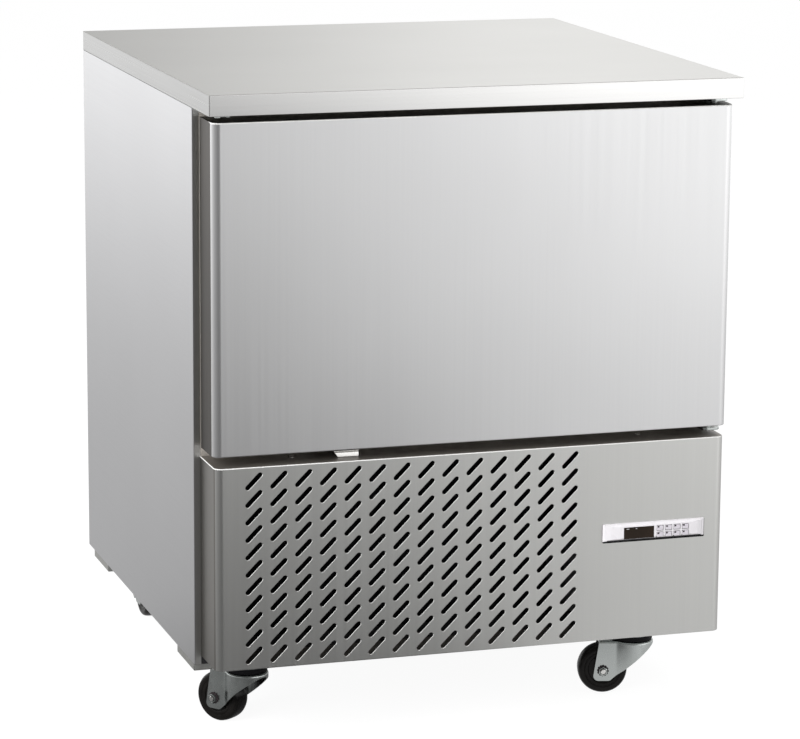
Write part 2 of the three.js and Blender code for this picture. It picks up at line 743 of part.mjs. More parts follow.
/** Clip on the chamber wall that holds the probe's handle. */
function probeClip() {
  const outer = PROBE_RADIUS + GAP + 2 * SHEET;
  const bottom = chamberMiddleZ + PROBE_HANDLE / 2;
  const height = [bottom, bottom + RACK_UPRIGHT];
  const opening = PROBE_RADIUS / 2;
  const body = join(
    rod(outer, 'z', height, [probeX, probeY], ROUND),
    block([probeX, chamberSide - GAP], [probeY - SHEET, probeY + SHEET], height)
  );
  const bore = rod(PROBE_RADIUS + GAP, 'z', past(height), [probeX, probeY], ROUND);
  const mouth = block([probeX - 2 * outer, probeX], [probeY - opening, probeY + opening], past(height));
  return cut(body, bore, mouth);
}

const coilSide = chamberSide - COIL_SIDE_CLEARANCE;
const evaporator = finnedBlock(
  [-coilSide, coilSide],
  [coilFrontY, chamberRearY - GAP],
  [chamberFloor + GAP, chamberTop - GAP],
  COIL_FIN_PITCH,
  COIL_FIN_DEPTH
);
const chamberFanY = baffleY + SHEET + FAN_HUB_LENGTH / 2 + FAN_TIP_CLEARANCE;

const chamberFan = fan(CHAMBER_FAN_DIAMETER - 2 * FAN_TIP_CLEARANCE);
const chamberFanMotor = fanMotor(CHAMBER_FAN_DIAMETER, baffleY + SHEET + GAP - chamberFanY);

add('evaporator_coil', evaporator, 'aluminium');
add('fan_baffle', fanBaffle(), 'brushedSteel');
add('evaporator_fan', chamberFan, 'blackPlastic').position.set(0, chamberFanY, chamberMiddleZ);
add('evaporator_fan_motor', chamberFanMotor, 'blackPaint').position.set(0, chamberFanY, chamberMiddleZ);
add('rack_left', panRack(-1), 'brushedSteel');
add('rack_right', panRack(1), 'brushedSteel');
add('core_probe', coreProbe(), 'brushedSteel').position.set(probeX, probeY, chamberMiddleZ);
add('probe_clip', probeClip(), 'whitePlastic');

// ---------------------------------------------------------------------------
// Door and its hinges
// ---------------------------------------------------------------------------

/** Bore that a hinge pin turns in, at the top or the bottom of the door. */
function pinBore(extra) {
  const radius = HINGE_PIN_RADIUS + PIN_CLEARANCE;
  const depth = HINGE_PIN_DEPTH + GAP + extra;
  return [
    rod(radius, 'z', [doorBottom - CUT_REACH, doorBottom + depth], [hingeX, hingeY]),
    rod(radius, 'z', [doorTop - depth, doorTop + CUT_REACH], [hingeX, hingeY]),
  ];
}

/** Outer door skin, bored for the hinge pins in its top and bottom returns. */
function doorSkin() {
  const rear = doorRearY - DOOR_LINER_THICKNESS - GAP;
  return cut(foldedPan(doorSide, [faceY, rear], [doorBottom, doorTop], EDGE_RADIUS), ...pinBore(0));
}

/** Foam inside the door, with pockets for the hinge pins. */
function doorFoam() {
  const clear = SHEET + GAP;
  const r = EDGE_RADIUS;
  const half = doorSide - clear;
  const rear = doorRearY - DOOR_LINER_THICKNESS - GAP;
  const plan = outline([
    [half, rear],
    [-half, rear],
    [-half, faceY + r],
    [-doorSide + r, faceY + clear],
    [doorSide - r, faceY + clear],
    [half, faceY + r],
  ]);
  return cut(prism(plan, 'z', [doorBottom + clear, doorTop - clear]), ...pinBore(GAP));
}

/** Inner door sheet that carries the gasket. */
function doorLiner() {
  const half = doorSide - GAP;
  const front = doorRearY - DOOR_LINER_THICKNESS;
  return block([-half, half], [front, doorRearY], [doorBottom + GAP, doorTop - GAP]);
}

/** Magnetic gasket: a rubber ring between the door and the front frame. */
function doorGasket() {
  const half = doorSide - GASKET_INSET;
  const [bottom, top] = [doorBottom + GASKET_INSET / 2, doorTop - GASKET_INSET / 2];
  const [front, rear] = [doorRearY + GAP, bodyFrontY - GAP];
  const ring = block([-half, half], [front, rear], [bottom, top]);
  const inside = block(
    [-half + GASKET_WIDTH, half - GASKET_WIDTH],
    past([front, rear]),
    [bottom + GASKET_WIDTH, top - GASKET_WIDTH]
  );
  return cut(ring, inside);
}

/** Hinge bracket with its welded pin. up is 1 for the bottom hinge and -1 for the top one. */
function hinge(up) {
  const doorEdge = up > 0 ? doorBottom : doorTop;
  const at = (distance) => doorEdge + up * distance;
  const range = (a, b) => [Math.min(at(a), at(b)), Math.max(at(a), at(b))];
  const plateNear = up > 0 ? -DOOR_PANEL_GAP / 2 : -DOOR_TOP_GAP / 2;
  const plateFar = plateNear + HINGE_PLATE / 2;
  const right = Math.min(flangeInner, doorSide - HINGE_SIDE_CLEARANCE);
  const left = right - HINGE_PLATE_WIDTH;
  const front = hingeY - 3 * HINGE_PIN_RADIUS;
  const rear = bodyFrontY - GAP;
  const legLeft = doorSide - GASKET_INSET + HINGE_SIDE_CLEARANCE;
  const legHeight = range(plateNear, plateNear + HINGE_LEG_HEIGHT);
  return join(
    block([left, right], [front, rear], range(plateFar - HINGE_PLATE, plateFar)),
    block([legLeft, right], [rear - HINGE_LEG_THICKNESS, rear], legHeight),
    rod(HINGE_PIN_RADIUS, 'z', range(plateNear, HINGE_PIN_DEPTH), [hingeX, hingeY])
  );
}

/** Bent catch strip on the front frame, just below the door's edge. */
function doorCatch() {
  const left = -doorSide + CATCH_LEFT_DISTANCE;
  const bottom = panelTop + GAP;
  const top = Math.min(bottom + CATCH_HEIGHT, doorBottom - 2 * SHEET);
  const rear = bodyFrontY - GAP;
  const front = rear - CATCH_DEPTH;
  const points = [
    [rear, bottom],
    [rear, bottom + SHEET],
    [front + SHEET, bottom + SHEET],
    [front + CATCH_HEIGHT, top - SHEET],
    [rear - CATCH_DEPTH / 3, top - SHEET],
    [rear - CATCH_DEPTH / 3, top],
    [front + CATCH_HEIGHT - SHEET, top],
    [front - SHEET, bottom],
  ];
  return prism(outline(points), 'x', [left, left + CATCH_WIDTH]);
}

add('door_skin', doorSkin(), 'brushedSteel');
add('door_foam', doorFoam(), 'foam');
add('door_liner', doorLiner(), 'brushedSteel');
add('door_gasket', doorGasket(), 'greyRubber');
add('top_hinge', hinge(-1), 'zinc');
add('bottom_hinge', hinge(1), 'zinc');
add('door_catch', doorCatch(), 'zinc');

// ---------------------------------------------------------------------------
// Lower front panel and controls
// ---------------------------------------------------------------------------

/** One slanted slot, as a tool through the panel's face. */
function slantedSlot(x, z) {
  const r = SLOT_WIDTH / 2;
  const reach = SLOT_LENGTH / 2 - r;
  const shape = new THREE.Shape();
  shape.absarc(reach, 0, r, -Math.PI / 2, Math.PI / 2, false);
  shape.absarc(-reach, 0, r, Math.PI / 2, 1.5 * Math.PI, false);
  const slot = prism(shape, 'y', past([faceY, faceY + SHEET]), 1);
  return slot.rotateY(-Math.PI / 4).translate(x, 0, z);
}

/** Every slot of the ventilated field, in rows and columns. */
function slotField() {
  const columns = Math.floor((slotRight - slotLeft) / SLOT_PITCH_X + SLOT_FIT_SHARE) + 1;
  const rows = Math.floor((slotTop - slotBottom) / SLOT_PITCH_Z + SLOT_FIT_SHARE) + 1;
  const slots = [];
  for (let row = 0; row < rows; row += 1) {
    for (let column = 0; column < columns; column += 1) {
      slots.push(slantedSlot(slotLeft + column * SLOT_PITCH_X, slotTop - row * SLOT_PITCH_Z));
    }
  }
  return slots;
}

/** Opening of the panel and the bezel's hollow: what the controller's case fills. */
const controlSpan = {
  x: [bezelLeft + BEZEL_BEVEL + BEZEL_WALL, bezelRight - BEZEL_BEVEL - BEZEL_WALL],
  z: [bezelBottom + BEZEL_WALL, bezelTop - BEZEL_WALL],
};

/** Ventilated lower front panel, a folded pan with slots and a cut-out for the controller. */
function lowerFrontPanel() {
  const pan = foldedPan(panelSide, [faceY, bodyFrontY - GAP], [panelBottom, panelTop], EDGE_RADIUS);
  const cutout = block(controlSpan.x, past([faceY, faceY + SHEET]), controlSpan.z);
  return cut(pan, cutout, ...slotField());
}

const displayLeft = bezelLeft + BEZEL_LEFT_MARGIN;
const keysLeft = displayLeft + DISPLAY_WIDTH + DISPLAY_KEY_GAP;
const controlsBottom = bezelBottom + BEZEL_EDGE;
const controlsTop = bezelTop - BEZEL_EDGE;

/** Left and lower corner of a key, from its column and row. */
function keyCorner(column, row) {
  const x = keysLeft + column * (KEY_WIDTH + KEY_GAP_X);
  const z = controlsTop - KEY_HEIGHT - row * (KEY_HEIGHT + KEY_GAP_Z);
  return [x, z];
}

/** White bezel with a bevelled front edge, a rebate for the display and a hole for each key. */
function controlBezel() {
  const half = [bezelWidth / 2 - BEZEL_BEVEL, bezelHeight / 2 - BEZEL_BEVEL];
  const shape = outline([
    [-half[0], -half[1]],
    [half[0], -half[1]],
    [half[0], half[1]],
    [-half[0], half[1]],
  ]);
  const bevelled = new THREE.ExtrudeGeometry(shape, {
    depth: BEZEL_PROTRUSION,
    bevelThickness: BEZEL_BEVEL,
    bevelSize: BEZEL_BEVEL,
    bevelSegments: 2,
  });
  const middle = [(bezelLeft + bezelRight) / 2, (bezelBottom + bezelTop) / 2];
  bevelled.rotateX(Math.PI / 2);
  bevelled.translate(middle[0], faceY + BEZEL_BEVEL, middle[1]);
  const behind = block(
    past([bezelLeft, bezelRight]),
    [faceY - GAP, faceY + 3 * BEZEL_BEVEL],
    past([bezelBottom, bezelTop])
  );
  const hollow = block(controlSpan.x, [bezelFrontY + BEZEL_WALL, faceY], controlSpan.z);
  const rebate = block(
    [displayLeft, displayLeft + DISPLAY_WIDTH],
    [bezelFrontY - CUT_REACH, bezelFrontY + DISPLAY_THICKNESS + 2 * GAP],
    [controlsBottom, controlsTop]
  );
  const window = block(
    [displayLeft + DISPLAY_LEDGE, displayLeft + DISPLAY_WIDTH - DISPLAY_LEDGE],
    past([bezelFrontY, faceY]),
    [controlsBottom + DISPLAY_LEDGE, controlsTop - DISPLAY_LEDGE]
  );
  const keyHoles = [];
  for (let row = 0; row < KEY_ROWS; row += 1) {
    for (let column = 0; column < KEY_COLUMNS; column += 1) {
      const [x, z] = keyCorner(column, row);
      keyHoles.push(block([x, x + KEY_WIDTH], past([bezelFrontY, faceY]), [z, z + KEY_HEIGHT]));
    }
  }
  return cut(bevelled, behind, hollow, rebate, window, ...keyHoles);
}

/** A key: a cap through the bezel with a retaining flange behind it. */
function key(column, row) {
  const [x, z] = keyCorner(column, row);
  const rear = controllerFrontY - KEY_TRAVEL - GAP;
  const cap = block(
    [x + GAP, x + KEY_WIDTH - GAP],
    [bezelFrontY - KEY_PROUD, rear],
    [z + GAP, z + KEY_HEIGHT - GAP]
  );
  const flange = block(
    [x - KEY_FLANGE, x + KEY_WIDTH + KEY_FLANGE],
    [bezelFrontY + BEZEL_WALL + GAP, rear],
    [z - KEY_FLANGE, z + KEY_HEIGHT + KEY_FLANGE]
  );
  return join(cap, flange);
}

/** Dark display window, seated in the bezel's rebate. */
function displayWindow() {
  const front = bezelFrontY + GAP;
  return block(
    [displayLeft + GAP, displayLeft + DISPLAY_WIDTH - GAP],
    [front, front + DISPLAY_THICKNESS],
    [controlsBottom + GAP, controlsTop - GAP]
  );
}

/** Controller case in the panel's cut-out, behind the keys. */
function controllerCase() {
  const inset = ([from, to]) => [from + GAP, to - GAP];
  const depth = [controllerFrontY, controllerFrontY + CONTROLLER_DEPTH];
  return block(inset(controlSpan.x), depth, inset(controlSpan.z));
}

add('lower_front_panel', lowerFrontPanel(), 'brushedSteel');
add('control_bezel', controlBezel(), 'whitePlastic');
add('display_window', displayWindow(), 'darkGlass');
add('controller_case', controllerCase(), 'blackPlastic');
for (let row = 0; row < KEY_ROWS; row += 1) {
  for (let column = 0; column < KEY_COLUMNS; column += 1) {
    add(`key_${row * KEY_COLUMNS + column + 1}`, key(column, row), 'keyGrey');
  }
}

// ---------------------------------------------------------------------------
// Machine compartment
// ---------------------------------------------------------------------------

/** Condenser coil behind the slots, with the stub of its inlet pipe at the right. */
function condenserCoil() {
  const fins = finnedBlock(
    [condenserLeft, slotRight],
    [condenserY, condenserY + CONDENSER_DEPTH],
    [panFloor, condenserTop],
    CONDENSER_FIN_PITCH,
    CONDENSER_FIN_DEPTH
  );
  const stub = [slotRight - STUB_RADIUS, slotRight + STUB_LENGTH];
  return join(fins, rod(STUB_RADIUS, 'x', stub, [lineEndY, lineEndZ]));
}

/** Shroud between the condenser and its fan: a shallow box with a round opening. */
function condenserShroud() {
  const box = block([condenserLeft, slotRight], [shroudY, shroudRearY], [panFloor, condenserTop]);
  const hollow = block(
    [condenserLeft + SHEET, slotRight - SHEET],
    [shroudY - SHEET, shroudRearY - SHEET],
    [panFloor + SHEET, condenserTop - SHEET]
  );
  const through = past([shroudY, shroudRearY]);
  const opening = rod(condenserFanDiameter / 2, 'y', through, [condenserX, condenserZ], ROUND);
  return cut(box, hollow, opening);
}

/** Hermetic compressor: a domed can on a foot plate, with a pipe stub to the left. */
function compressor() {
  const r = COMPRESSOR_RADIUS;
  const h = COMPRESSOR_HEIGHT;
  const can = turned(COMPRESSOR_PROFILE.map(([u, v]) => [r * u, h * v])).rotateX(Math.PI / 2);
  const foot = block(
    [-COMPRESSOR_FOOT_X / 2, COMPRESSOR_FOOT_X / 2],
    [-COMPRESSOR_FOOT_Y / 2, COMPRESSOR_FOOT_Y / 2],
    [0, COMPRESSOR_FOOT]
  );
  const stub = rod(STUB_RADIUS, 'x', [-r - STUB_LENGTH, -r / 2], [0, COMPRESSOR_STUB_HEIGHT]);
  return join(can, foot, stub).translate(compressorX, compressorY, panFloor);
}

const lineStart = new THREE.Vector3(
  compressorX - COMPRESSOR_RADIUS - STUB_LENGTH - GAP,
  compressorY,
  panFloor + COMPRESSOR_STUB_HEIGHT
);
const lineEndX = slotRight + STUB_LENGTH + GAP;
const lineEndY = condenserY + CONDENSER_DEPTH / 2;
const lineEndZ = condenserTop - 2 * SLOT_PITCH_Z;

/** Copper discharge line from the compressor to the condenser. */
function dischargeLine() {
  const end = new THREE.Vector3(lineEndX, lineEndY, lineEndZ);
  const lead = 2 * STUB_LENGTH;
  const path = new THREE.CurvePath();
  const leadIn = lineStart.clone().add(new THREE.Vector3(-lead / 2, 0, 0));
  const leadOut = end.clone().add(new THREE.Vector3(lead / 2, 0, 0));
  path.add(new THREE.LineCurve3(lineStart, leadIn));
  path.add(
    new THREE.CubicBezierCurve3(
      leadIn,
      leadIn.clone().add(new THREE.Vector3(-lead, 0, 0)),
      leadOut.clone().add(new THREE.Vector3(lead, 0, 0)),
      leadOut
    )
  );
  path.add(new THREE.LineCurve3(leadOut, end));
  const smooth = new THREE.CatmullRomCurve3(path.getSpacedPoints(LINE_STEPS));
  const section = new THREE.Shape().absarc(0, 0, LINE_RADIUS, 0, 2 * Math.PI, false);
  return new THREE.ExtrudeGeometry(section, {
    steps: LINE_STEPS,
    extrudePath: smooth,
    curveSegments: COARSE / 4,
  });
}

/** Electrical box on the base pan, behind the controls. */
function electricalBox() {
  const right = innerSide - SIDE_FLANGE;
  const front = bodyFrontY + SHEET + CONDENSER_SETBACK;
  const left = right - ELECTRICS_WIDTH;
  const rear = front + ELECTRICS_DEPTH;
  const lidZ = panFloor + ELECTRICS_HEIGHT;
  const box = block([left, right], [front, rear], [panFloor, lidZ]);
  const lip = block([left - SHEET, right + SHEET], [front - SHEET, rear + SHEET], [lidZ, lidZ + 3 * SHEET]);
  return join(box, lip);
}

/** Condensate tray on the base pan, at the rear left. */
function condensateTray() {
  const left = -innerSide + SIDE_FLANGE;
  const right = left + TRAY_WIDTH;
  const rear = rearSheetY - PAN_UPSTAND;
  const front = rear - TRAY_DEPTH;
  const rim = panFloor + TRAY_HEIGHT;
  const wall = 2 * SHEET;
  const outer = block([left, right], [front, rear], [panFloor, rim]);
  const inner = block(
    [left + wall, right - wall],
    [front + wall, rear - wall],
    [panFloor + wall, rim + CUT_REACH]
  );
  return cut(outer, inner);
}

/** Cord gland through the rear grille, with its nut on the inside. */
function cordGland() {
  const nose = rearY - GAP;
  const nutRear = rearSheetY - GAP;
  return turned([
    [GLAND_BORE, nutRear - GLAND_NUT_LENGTH],
    [GLAND_NUT_RADIUS, nutRear - GLAND_NUT_LENGTH],
    [GLAND_NUT_RADIUS, nutRear],
    [GLAND_RADIUS, nutRear],
    [GLAND_RADIUS, nose],
    [GLAND_BORE, nose],
    [GLAND_BORE, nutRear - GLAND_NUT_LENGTH],
  ]);
}

const condenserFanY = shroudRearY + FAN_HUB_LENGTH / 2 - SHEET;

const condenserFan = fan(condenserFanDiameter - 2 * FAN_TIP_CLEARANCE);
const condenserMotor = fanMotor(condenserFanDiameter, shroudRearY + GAP - condenserFanY);

add('condenser_coil', condenserCoil(), 'aluminium');
add('condenser_shroud', condenserShroud(), 'blackPaint');
add('condenser_fan', condenserFan, 'aluminium').position.set(condenserX, condenserFanY, condenserZ);
add('condenser_fan_motor', condenserMotor, 'blackPaint').position.set(condenserX, condenserFanY, condenserZ);
add('compressor', compressor(), 'blackPaint');
add('discharge_line', dischargeLine(), 'copper');
add('electrical_box', electricalBox(), 'galvanised');
add('condensate_tray', condensateTray(), 'blackPlastic');
add('cord_gland', cordGland(), 'blackPlastic').position.set(glandX, 0, glandZ);

// ---------------------------------------------------------------------------
// Casters, each about its own kingpin with the wheel on its +X side
// ---------------------------------------------------------------------------

/** Top plate with the fixed half of the raceway and the kingpin that holds the fork. */
function casterPlate() {
  const headTop = forkUnder - GAP;
  return join(
    block(
      [-CASTER_PLATE_X / 2, CASTER_PLATE_X / 2],
      [-CASTER_PLATE_Y / 2, CASTER_PLATE_Y / 2],
      [plateTop - CASTER_PLATE_THICKNESS, plateTop]
    ),
    rod(RACEWAY_RADIUS, 'z', [racewayBottom, plateTop], [0, 0], ROUND),
    rod(KINGPIN_RADIUS, 'z', [headTop, plateTop], [0, 0]),
    rod(KINGPIN_HEAD_RADIUS, 'z', [headTop - KINGPIN_HEAD, headTop], [0, 0])
  );
}

/** Outline of one fork leg, seen from the side. */
function forkLeg() {
  const lowest = wheelRadius - FORK_NOSE_DEPTH;
  const noseX = CASTER_TRAIL + FORK_NOSE_REACH - FORK_NOSE_RADIUS; // middle of the rounded front corner
  const shape = new THREE.Shape();
  shape.moveTo(-FORK_REAR_REACH, forkTop);
  shape.lineTo(-FORK_REAR_REACH, forkTop - FORK_REAR_DEPTH);
  shape.lineTo(CASTER_TRAIL - FORK_HEEL_REACH, lowest);
  shape.absarc(noseX, lowest + FORK_NOSE_RADIUS, FORK_NOSE_RADIUS, -Math.PI / 2, 0, false);
  shape.lineTo(CASTER_TRAIL + FORK_FRONT_REACH, forkTop);
  return shape;
}

/** Pressed fork: a round top with two legs, and the axle bolt with its head and nut. */
function casterFork() {
  const inner = HUB_WIDTH / 2 + GAP;
  const outer = inner + FORK_SHEET;
  const nut = outer + AXLE_NUT_THICKNESS;
  const centre = [CASTER_TRAIL, wheelRadius];
  const legs = [
    prism(forkLeg(), 'y', [inner, outer], 5),
    prism(forkLeg(), 'y', [-outer, -inner], 5),
  ];
  const top = join(
    rod(FORK_RADIUS, 'z', [forkUnder, forkTop], [0, 0], ROUND),
    block([0, CASTER_TRAIL + FORK_FRONT_REACH], [-outer, outer], [forkUnder, forkTop])
  );
  const bore = rod(KINGPIN_RADIUS + PIN_CLEARANCE, 'z', past([forkUnder, forkTop]), [0, 0]);
  const axle = [
    rod(AXLE_RADIUS, 'y', [-nut, nut], centre),
    rod(AXLE_NUT_RADIUS, 'y', [outer, nut], centre, 6),
    rod(AXLE_NUT_RADIUS, 'y', [-nut, -outer], centre, 6),
  ];
  return join(cut(top, bore), ...legs, ...axle);
}

/** Solid wheel with rounded shoulders and a bored hub. */
function casterWheel() {
  const half = WHEEL_WIDTH / 2;
  const hub = HUB_WIDTH / 2;
  const web = half - WHEEL_DISH;
  const profile = [
    [AXLE_RADIUS + PIN_CLEARANCE, -hub],
    [WHEEL_HUB_RADIUS, -hub],
    [WHEEL_HUB_RADIUS + WHEEL_DISH, -web],
    [WHEEL_RIM_RADIUS - WHEEL_DISH, -web],
    [WHEEL_RIM_RADIUS, -half],
    [wheelRadius - WHEEL_SHOULDER / 2, -half],
    [wheelRadius, WHEEL_SHOULDER - half],
  ];
  const mirrored = profile.map(([radius, y]) => [radius, -y]).reverse();
  return turned([...profile, ...mirrored, profile[0]], ROUND);
}

for (const { name, side: sign, end, heading } of CASTERS) {
  const kingpin = new THREE.Group();
  kingpin.position.set(sign * kingpinX, end === 'front' ? frontKingpinY : rearKingpinY, 0);
  blastChiller.add(kingpin);
  add(`${name}_caster_plate`, casterPlate(), 'zinc', kingpin);
  const swivel = new THREE.Group();
  swivel.rotation.z = THREE.MathUtils.degToRad(heading);
  kingpin.add(swivel);
  add(`${name}_caster_fork`, casterFork(), 'zinc', swivel);
  const wheel = add(`${name}_caster_wheel`, casterWheel(), 'blackPlastic', swivel);
  wheel.position.set(CASTER_TRAIL, 0, wheelRadius);
}

export default blastChiller;
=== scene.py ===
"""Blast chiller on casters: folded steel sheets, door, controls, casters and the studio."""

import json
import logging
import math
from collections.abc import Callable, Iterator, Sequence
from contextlib import contextmanager
from dataclasses import dataclass
from enum import Enum
from itertools import pairwise
from typing import ClassVar

import bpy
from mathutils import Matrix, Vector


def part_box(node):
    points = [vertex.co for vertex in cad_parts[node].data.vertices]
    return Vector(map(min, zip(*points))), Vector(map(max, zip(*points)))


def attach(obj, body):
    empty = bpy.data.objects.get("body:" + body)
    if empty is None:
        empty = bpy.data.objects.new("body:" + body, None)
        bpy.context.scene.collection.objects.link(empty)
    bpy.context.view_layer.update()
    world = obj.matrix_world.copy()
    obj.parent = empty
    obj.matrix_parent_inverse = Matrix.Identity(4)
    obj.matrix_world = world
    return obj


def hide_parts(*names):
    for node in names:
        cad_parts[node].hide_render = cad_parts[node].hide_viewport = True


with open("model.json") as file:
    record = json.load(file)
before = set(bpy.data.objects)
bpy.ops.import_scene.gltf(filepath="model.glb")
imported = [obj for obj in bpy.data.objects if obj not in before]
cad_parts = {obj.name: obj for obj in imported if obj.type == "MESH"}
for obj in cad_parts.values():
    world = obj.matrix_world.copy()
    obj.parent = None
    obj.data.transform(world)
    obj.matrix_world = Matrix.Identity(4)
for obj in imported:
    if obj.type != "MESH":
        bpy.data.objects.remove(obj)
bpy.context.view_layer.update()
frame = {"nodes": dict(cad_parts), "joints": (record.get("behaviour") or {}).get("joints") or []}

LOG = logging.getLogger("blast_chiller")
MM = 0.001
REARWARD = Vector((0.0, 1.0, 0.0))
# How far past its place a face or an edge is still looked for.
SLACK = 0.1 * MM
# A face is square to an axis when more of its normal than this lies along it.
SQUARE = 0.95
# An edge runs along an axis when it is this many times longer along it than across it.
LENGTHWAYS = 10

Pair = tuple[float, float]
Triple = tuple[float, float, float]
FaceTest = Callable[[Vector, Vector], bool]
EdgeTest = Callable[[Vector, Vector], bool]
Socket = bpy.types.NodeSocket


class Select(Enum):
    """What a click selects in edit mode."""

    VERTEX = (True, False, False)
    EDGE = (False, True, False)
    FACE = (False, False, True)


class Axis(Enum):
    """A world axis, with the direction that a turned profile's radius starts in."""

    X = ((1.0, 0.0, 0.0), (0.0, 1.0, 0.0))
    Y = ((0.0, 1.0, 0.0), (1.0, 0.0, 0.0))
    Z = ((0.0, 0.0, 1.0), (1.0, 0.0, 0.0))


# Materials and finishes


class Wiring:
    """A node tree, with short calls that add and wire its nodes."""

    def __init__(self, tree: bpy.types.NodeTree) -> None:
        """Takes a material's or the world's node tree."""
        self.tree = tree

    def feed(self, socket: Socket, value: object) -> None:
        """Wires a socket to another one, or fixes its value.

        Args:
            socket: The input.
            value: Another node's output, or the value.
        """
        if isinstance(value, Socket):
            self.tree.links.new(value, socket)
        else:
            socket.default_value = value

    def add(
        self, kind: str, inputs: dict[str | int, object] | None = None, **settings: object
    ) -> bpy.types.Node:
        """Adds a node.

        Args:
            kind: The node's type.
            inputs: Values or sockets for its inputs, by name or number.
            **settings: The node's own properties.

        Returns:
            The new node.
        """
        node = self.tree.nodes.new(kind)
        for key, value in settings.items():
            setattr(node, key, value)
        for key, value in (inputs or {}).items():
            self.feed(node.inputs[key], value)
        return node

    def math(self, operation: str, *values: object) -> Socket:
        """A sum, product or other operation on sockets and numbers."""
        return self.add("ShaderNodeMath", dict(enumerate(values)), operation=operation).outputs[0]

    def spread(self, value: Socket, source: Pair, target: Pair, **settings: object) -> Socket:
        """Carries one range of values over to another.

        Args:
            value: What is carried over.
            source: The value's own range.
            target: The range that it becomes.
            **settings: The node's own properties.

        Returns:
            The new value.
        """
        inputs = {"Value": value, "From Min": source[0], "From Max": source[1]}
        inputs |= {"To Min": target[0], "To Max": target[1]}
        return self.add("ShaderNodeMapRange", inputs, **settings).outputs[0]


class NodeSheet(Wiring):
    """A material's node tree, with its shader and the piece's own coordinates."""

    # The part of a noise's range that most of its values fill.
    middle: ClassVar[Pair] = (0.3, 0.7)

    def __init__(self, name: str) -> None:
        """Starts a material.

        Args:
            name: The material's name.
        """
        self.material = bpy.data.materials.new(name)
        self.material.use_nodes = True
        super().__init__(self.material.node_tree)
        self.shader = self.tree.nodes["Principled BSDF"]
        self.place = self.add("ShaderNodeTexCoord").outputs["Object"]

    def fix(self, **values: object) -> None:
        """Sets shader sockets that are the same all over the surface."""
        for key, value in values.items():
            self.shader.inputs[key.replace("_", " ")].default_value = value

    def noise(self, scale: Triple, detail: float) -> Socket:
        """Noise stretched by its own scale on each axis.

        Args:
            scale: Features per metre on each axis.
            detail: Octaves of finer noise.

        Returns:
            The noise's value.
        """
        mapping = self.add("ShaderNodeMapping", {"Vector": self.place, "Scale": scale})
        inputs = {"Vector": mapping.outputs[0], "Scale": 1.0, "Detail": detail}
        return self.add("ShaderNodeTexNoise", inputs).outputs[0]

    def blend(self, first: Socket, second: Socket, share: float) -> Socket:
        """Mixes two patterns, the first by its share and the second by the rest."""
        return self.math("MULTIPLY_ADD", first, share, self.math("MULTIPLY", second, 1.0 - share))

    def colour(self, value: Socket, dark: Triple, light: Triple) -> None:
        """Runs the surface's colour between two shades, over the middle of a pattern.

        Args:
            value: The pattern that the shade follows.
            dark: Colour at the low end.
            light: Colour at the high end.
        """
        ramp = self.add("ShaderNodeValToRGB", {"Fac": value})
        for element, position, tint in zip(ramp.color_ramp.elements, self.middle, (dark, light), strict=True):
            element.position = position
            element.color = (*tint, 1.0)
        self.feed(self.shader.inputs["Base Color"], ramp.outputs[0])

    def tones(self, value: Socket, colour: Triple, dark: float, light: float) -> None:
        """Runs the surface between a darker and a lighter tone of its colour.

        Args:
            value: The pattern that the tone follows.
            colour: The surface's colour.
            dark: Factor of the colour at the low end.
            light: Factor of the colour at the high end.
        """
        shades = [tuple(min(1.0, channel * factor) for channel in colour) for factor in (dark, light)]
        self.colour(value, *shades)

    def rough(self, value: Socket, roughness: float, change: Pair) -> None:
        """Runs the roughness over the middle of a pattern.

        Args:
            value: The pattern that it follows.
            roughness: The surface's roughness.
            change: How far it falls and rises from there.
        """
        target = (roughness + change[0], roughness + change[1])
        self.feed(self.shader.inputs["Roughness"], self.spread(value, self.middle, target))

    def relief(self, height: Socket, depth: float) -> None:
        """Raises the surface by a pattern.

        Args:
            height: The pattern.
            depth: Its depth in metres.
        """
        bump = self.add("ShaderNodeBump", {"Height": height, "Distance": depth, "Strength": 1.0})
        self.feed(self.shader.inputs["Normal"], bump.outputs[0])


@dataclass(frozen=True)
class BrushedSteel:
    """Stainless sheet with a fine brushed grain along one axis."""

    name: str
    colour: Triple
    grain: Triple
    roughness: float = 0.3
    tone: float = 0.03
    depth: float = 0.006 * MM
    grain_share: float = 0.4
    cloud: float = 3.1
    gloss: Pair = (-0.02, 0.03)

    def build(self) -> bpy.types.Material:
        """Builds the grain, the soft cloudiness and the roughness that follows the grain.

        Returns:
            The material.
        """
        sheet = NodeSheet(self.name)
        grain = sheet.noise(self.grain, detail=4.0)
        cloud = sheet.noise((self.cloud,) * 3, detail=2.0)
        mixed = sheet.blend(grain, cloud, self.grain_share)
        sheet.tones(mixed, self.colour, 1 - self.tone, 1 + self.tone)
        sheet.rough(grain, self.roughness, self.gloss)
        sheet.relief(grain, self.depth)
        sheet.fix(Metallic=1.0)
        return sheet.material


@dataclass(frozen=True)
class CoatedMetal:
    """Rolled, plated or cast metal with a soft mottle."""

    name: str
    colour: Triple
    roughness: float = 0.35
    mottle: float = 45.0
    tone: float = 0.1
    depth: float = 0.03 * MM
    metallic: float = 1.0
    mottle_share: float = 0.5
    cloud_size: float = 8.0
    gloss: Pair = (-0.06, 0.08)

    def build(self) -> bpy.types.Material:
        """Builds the mottle, the broader clouds, the relief and the roughness over it.

        Returns:
            The material.
        """
        sheet = NodeSheet(self.name)
        mottle = sheet.noise((self.mottle,) * 3, detail=5.0)
        cloud = sheet.noise((self.mottle / self.cloud_size,) * 3, detail=2.0)
        mixed = sheet.blend(mottle, cloud, self.mottle_share)
        sheet.tones(mixed, self.colour, 1 - self.tone, 1 + self.tone)
        sheet.rough(mottle, self.roughness, self.gloss)
        sheet.relief(mottle, self.depth)
        sheet.fix(Metallic=self.metallic)
        return sheet.material


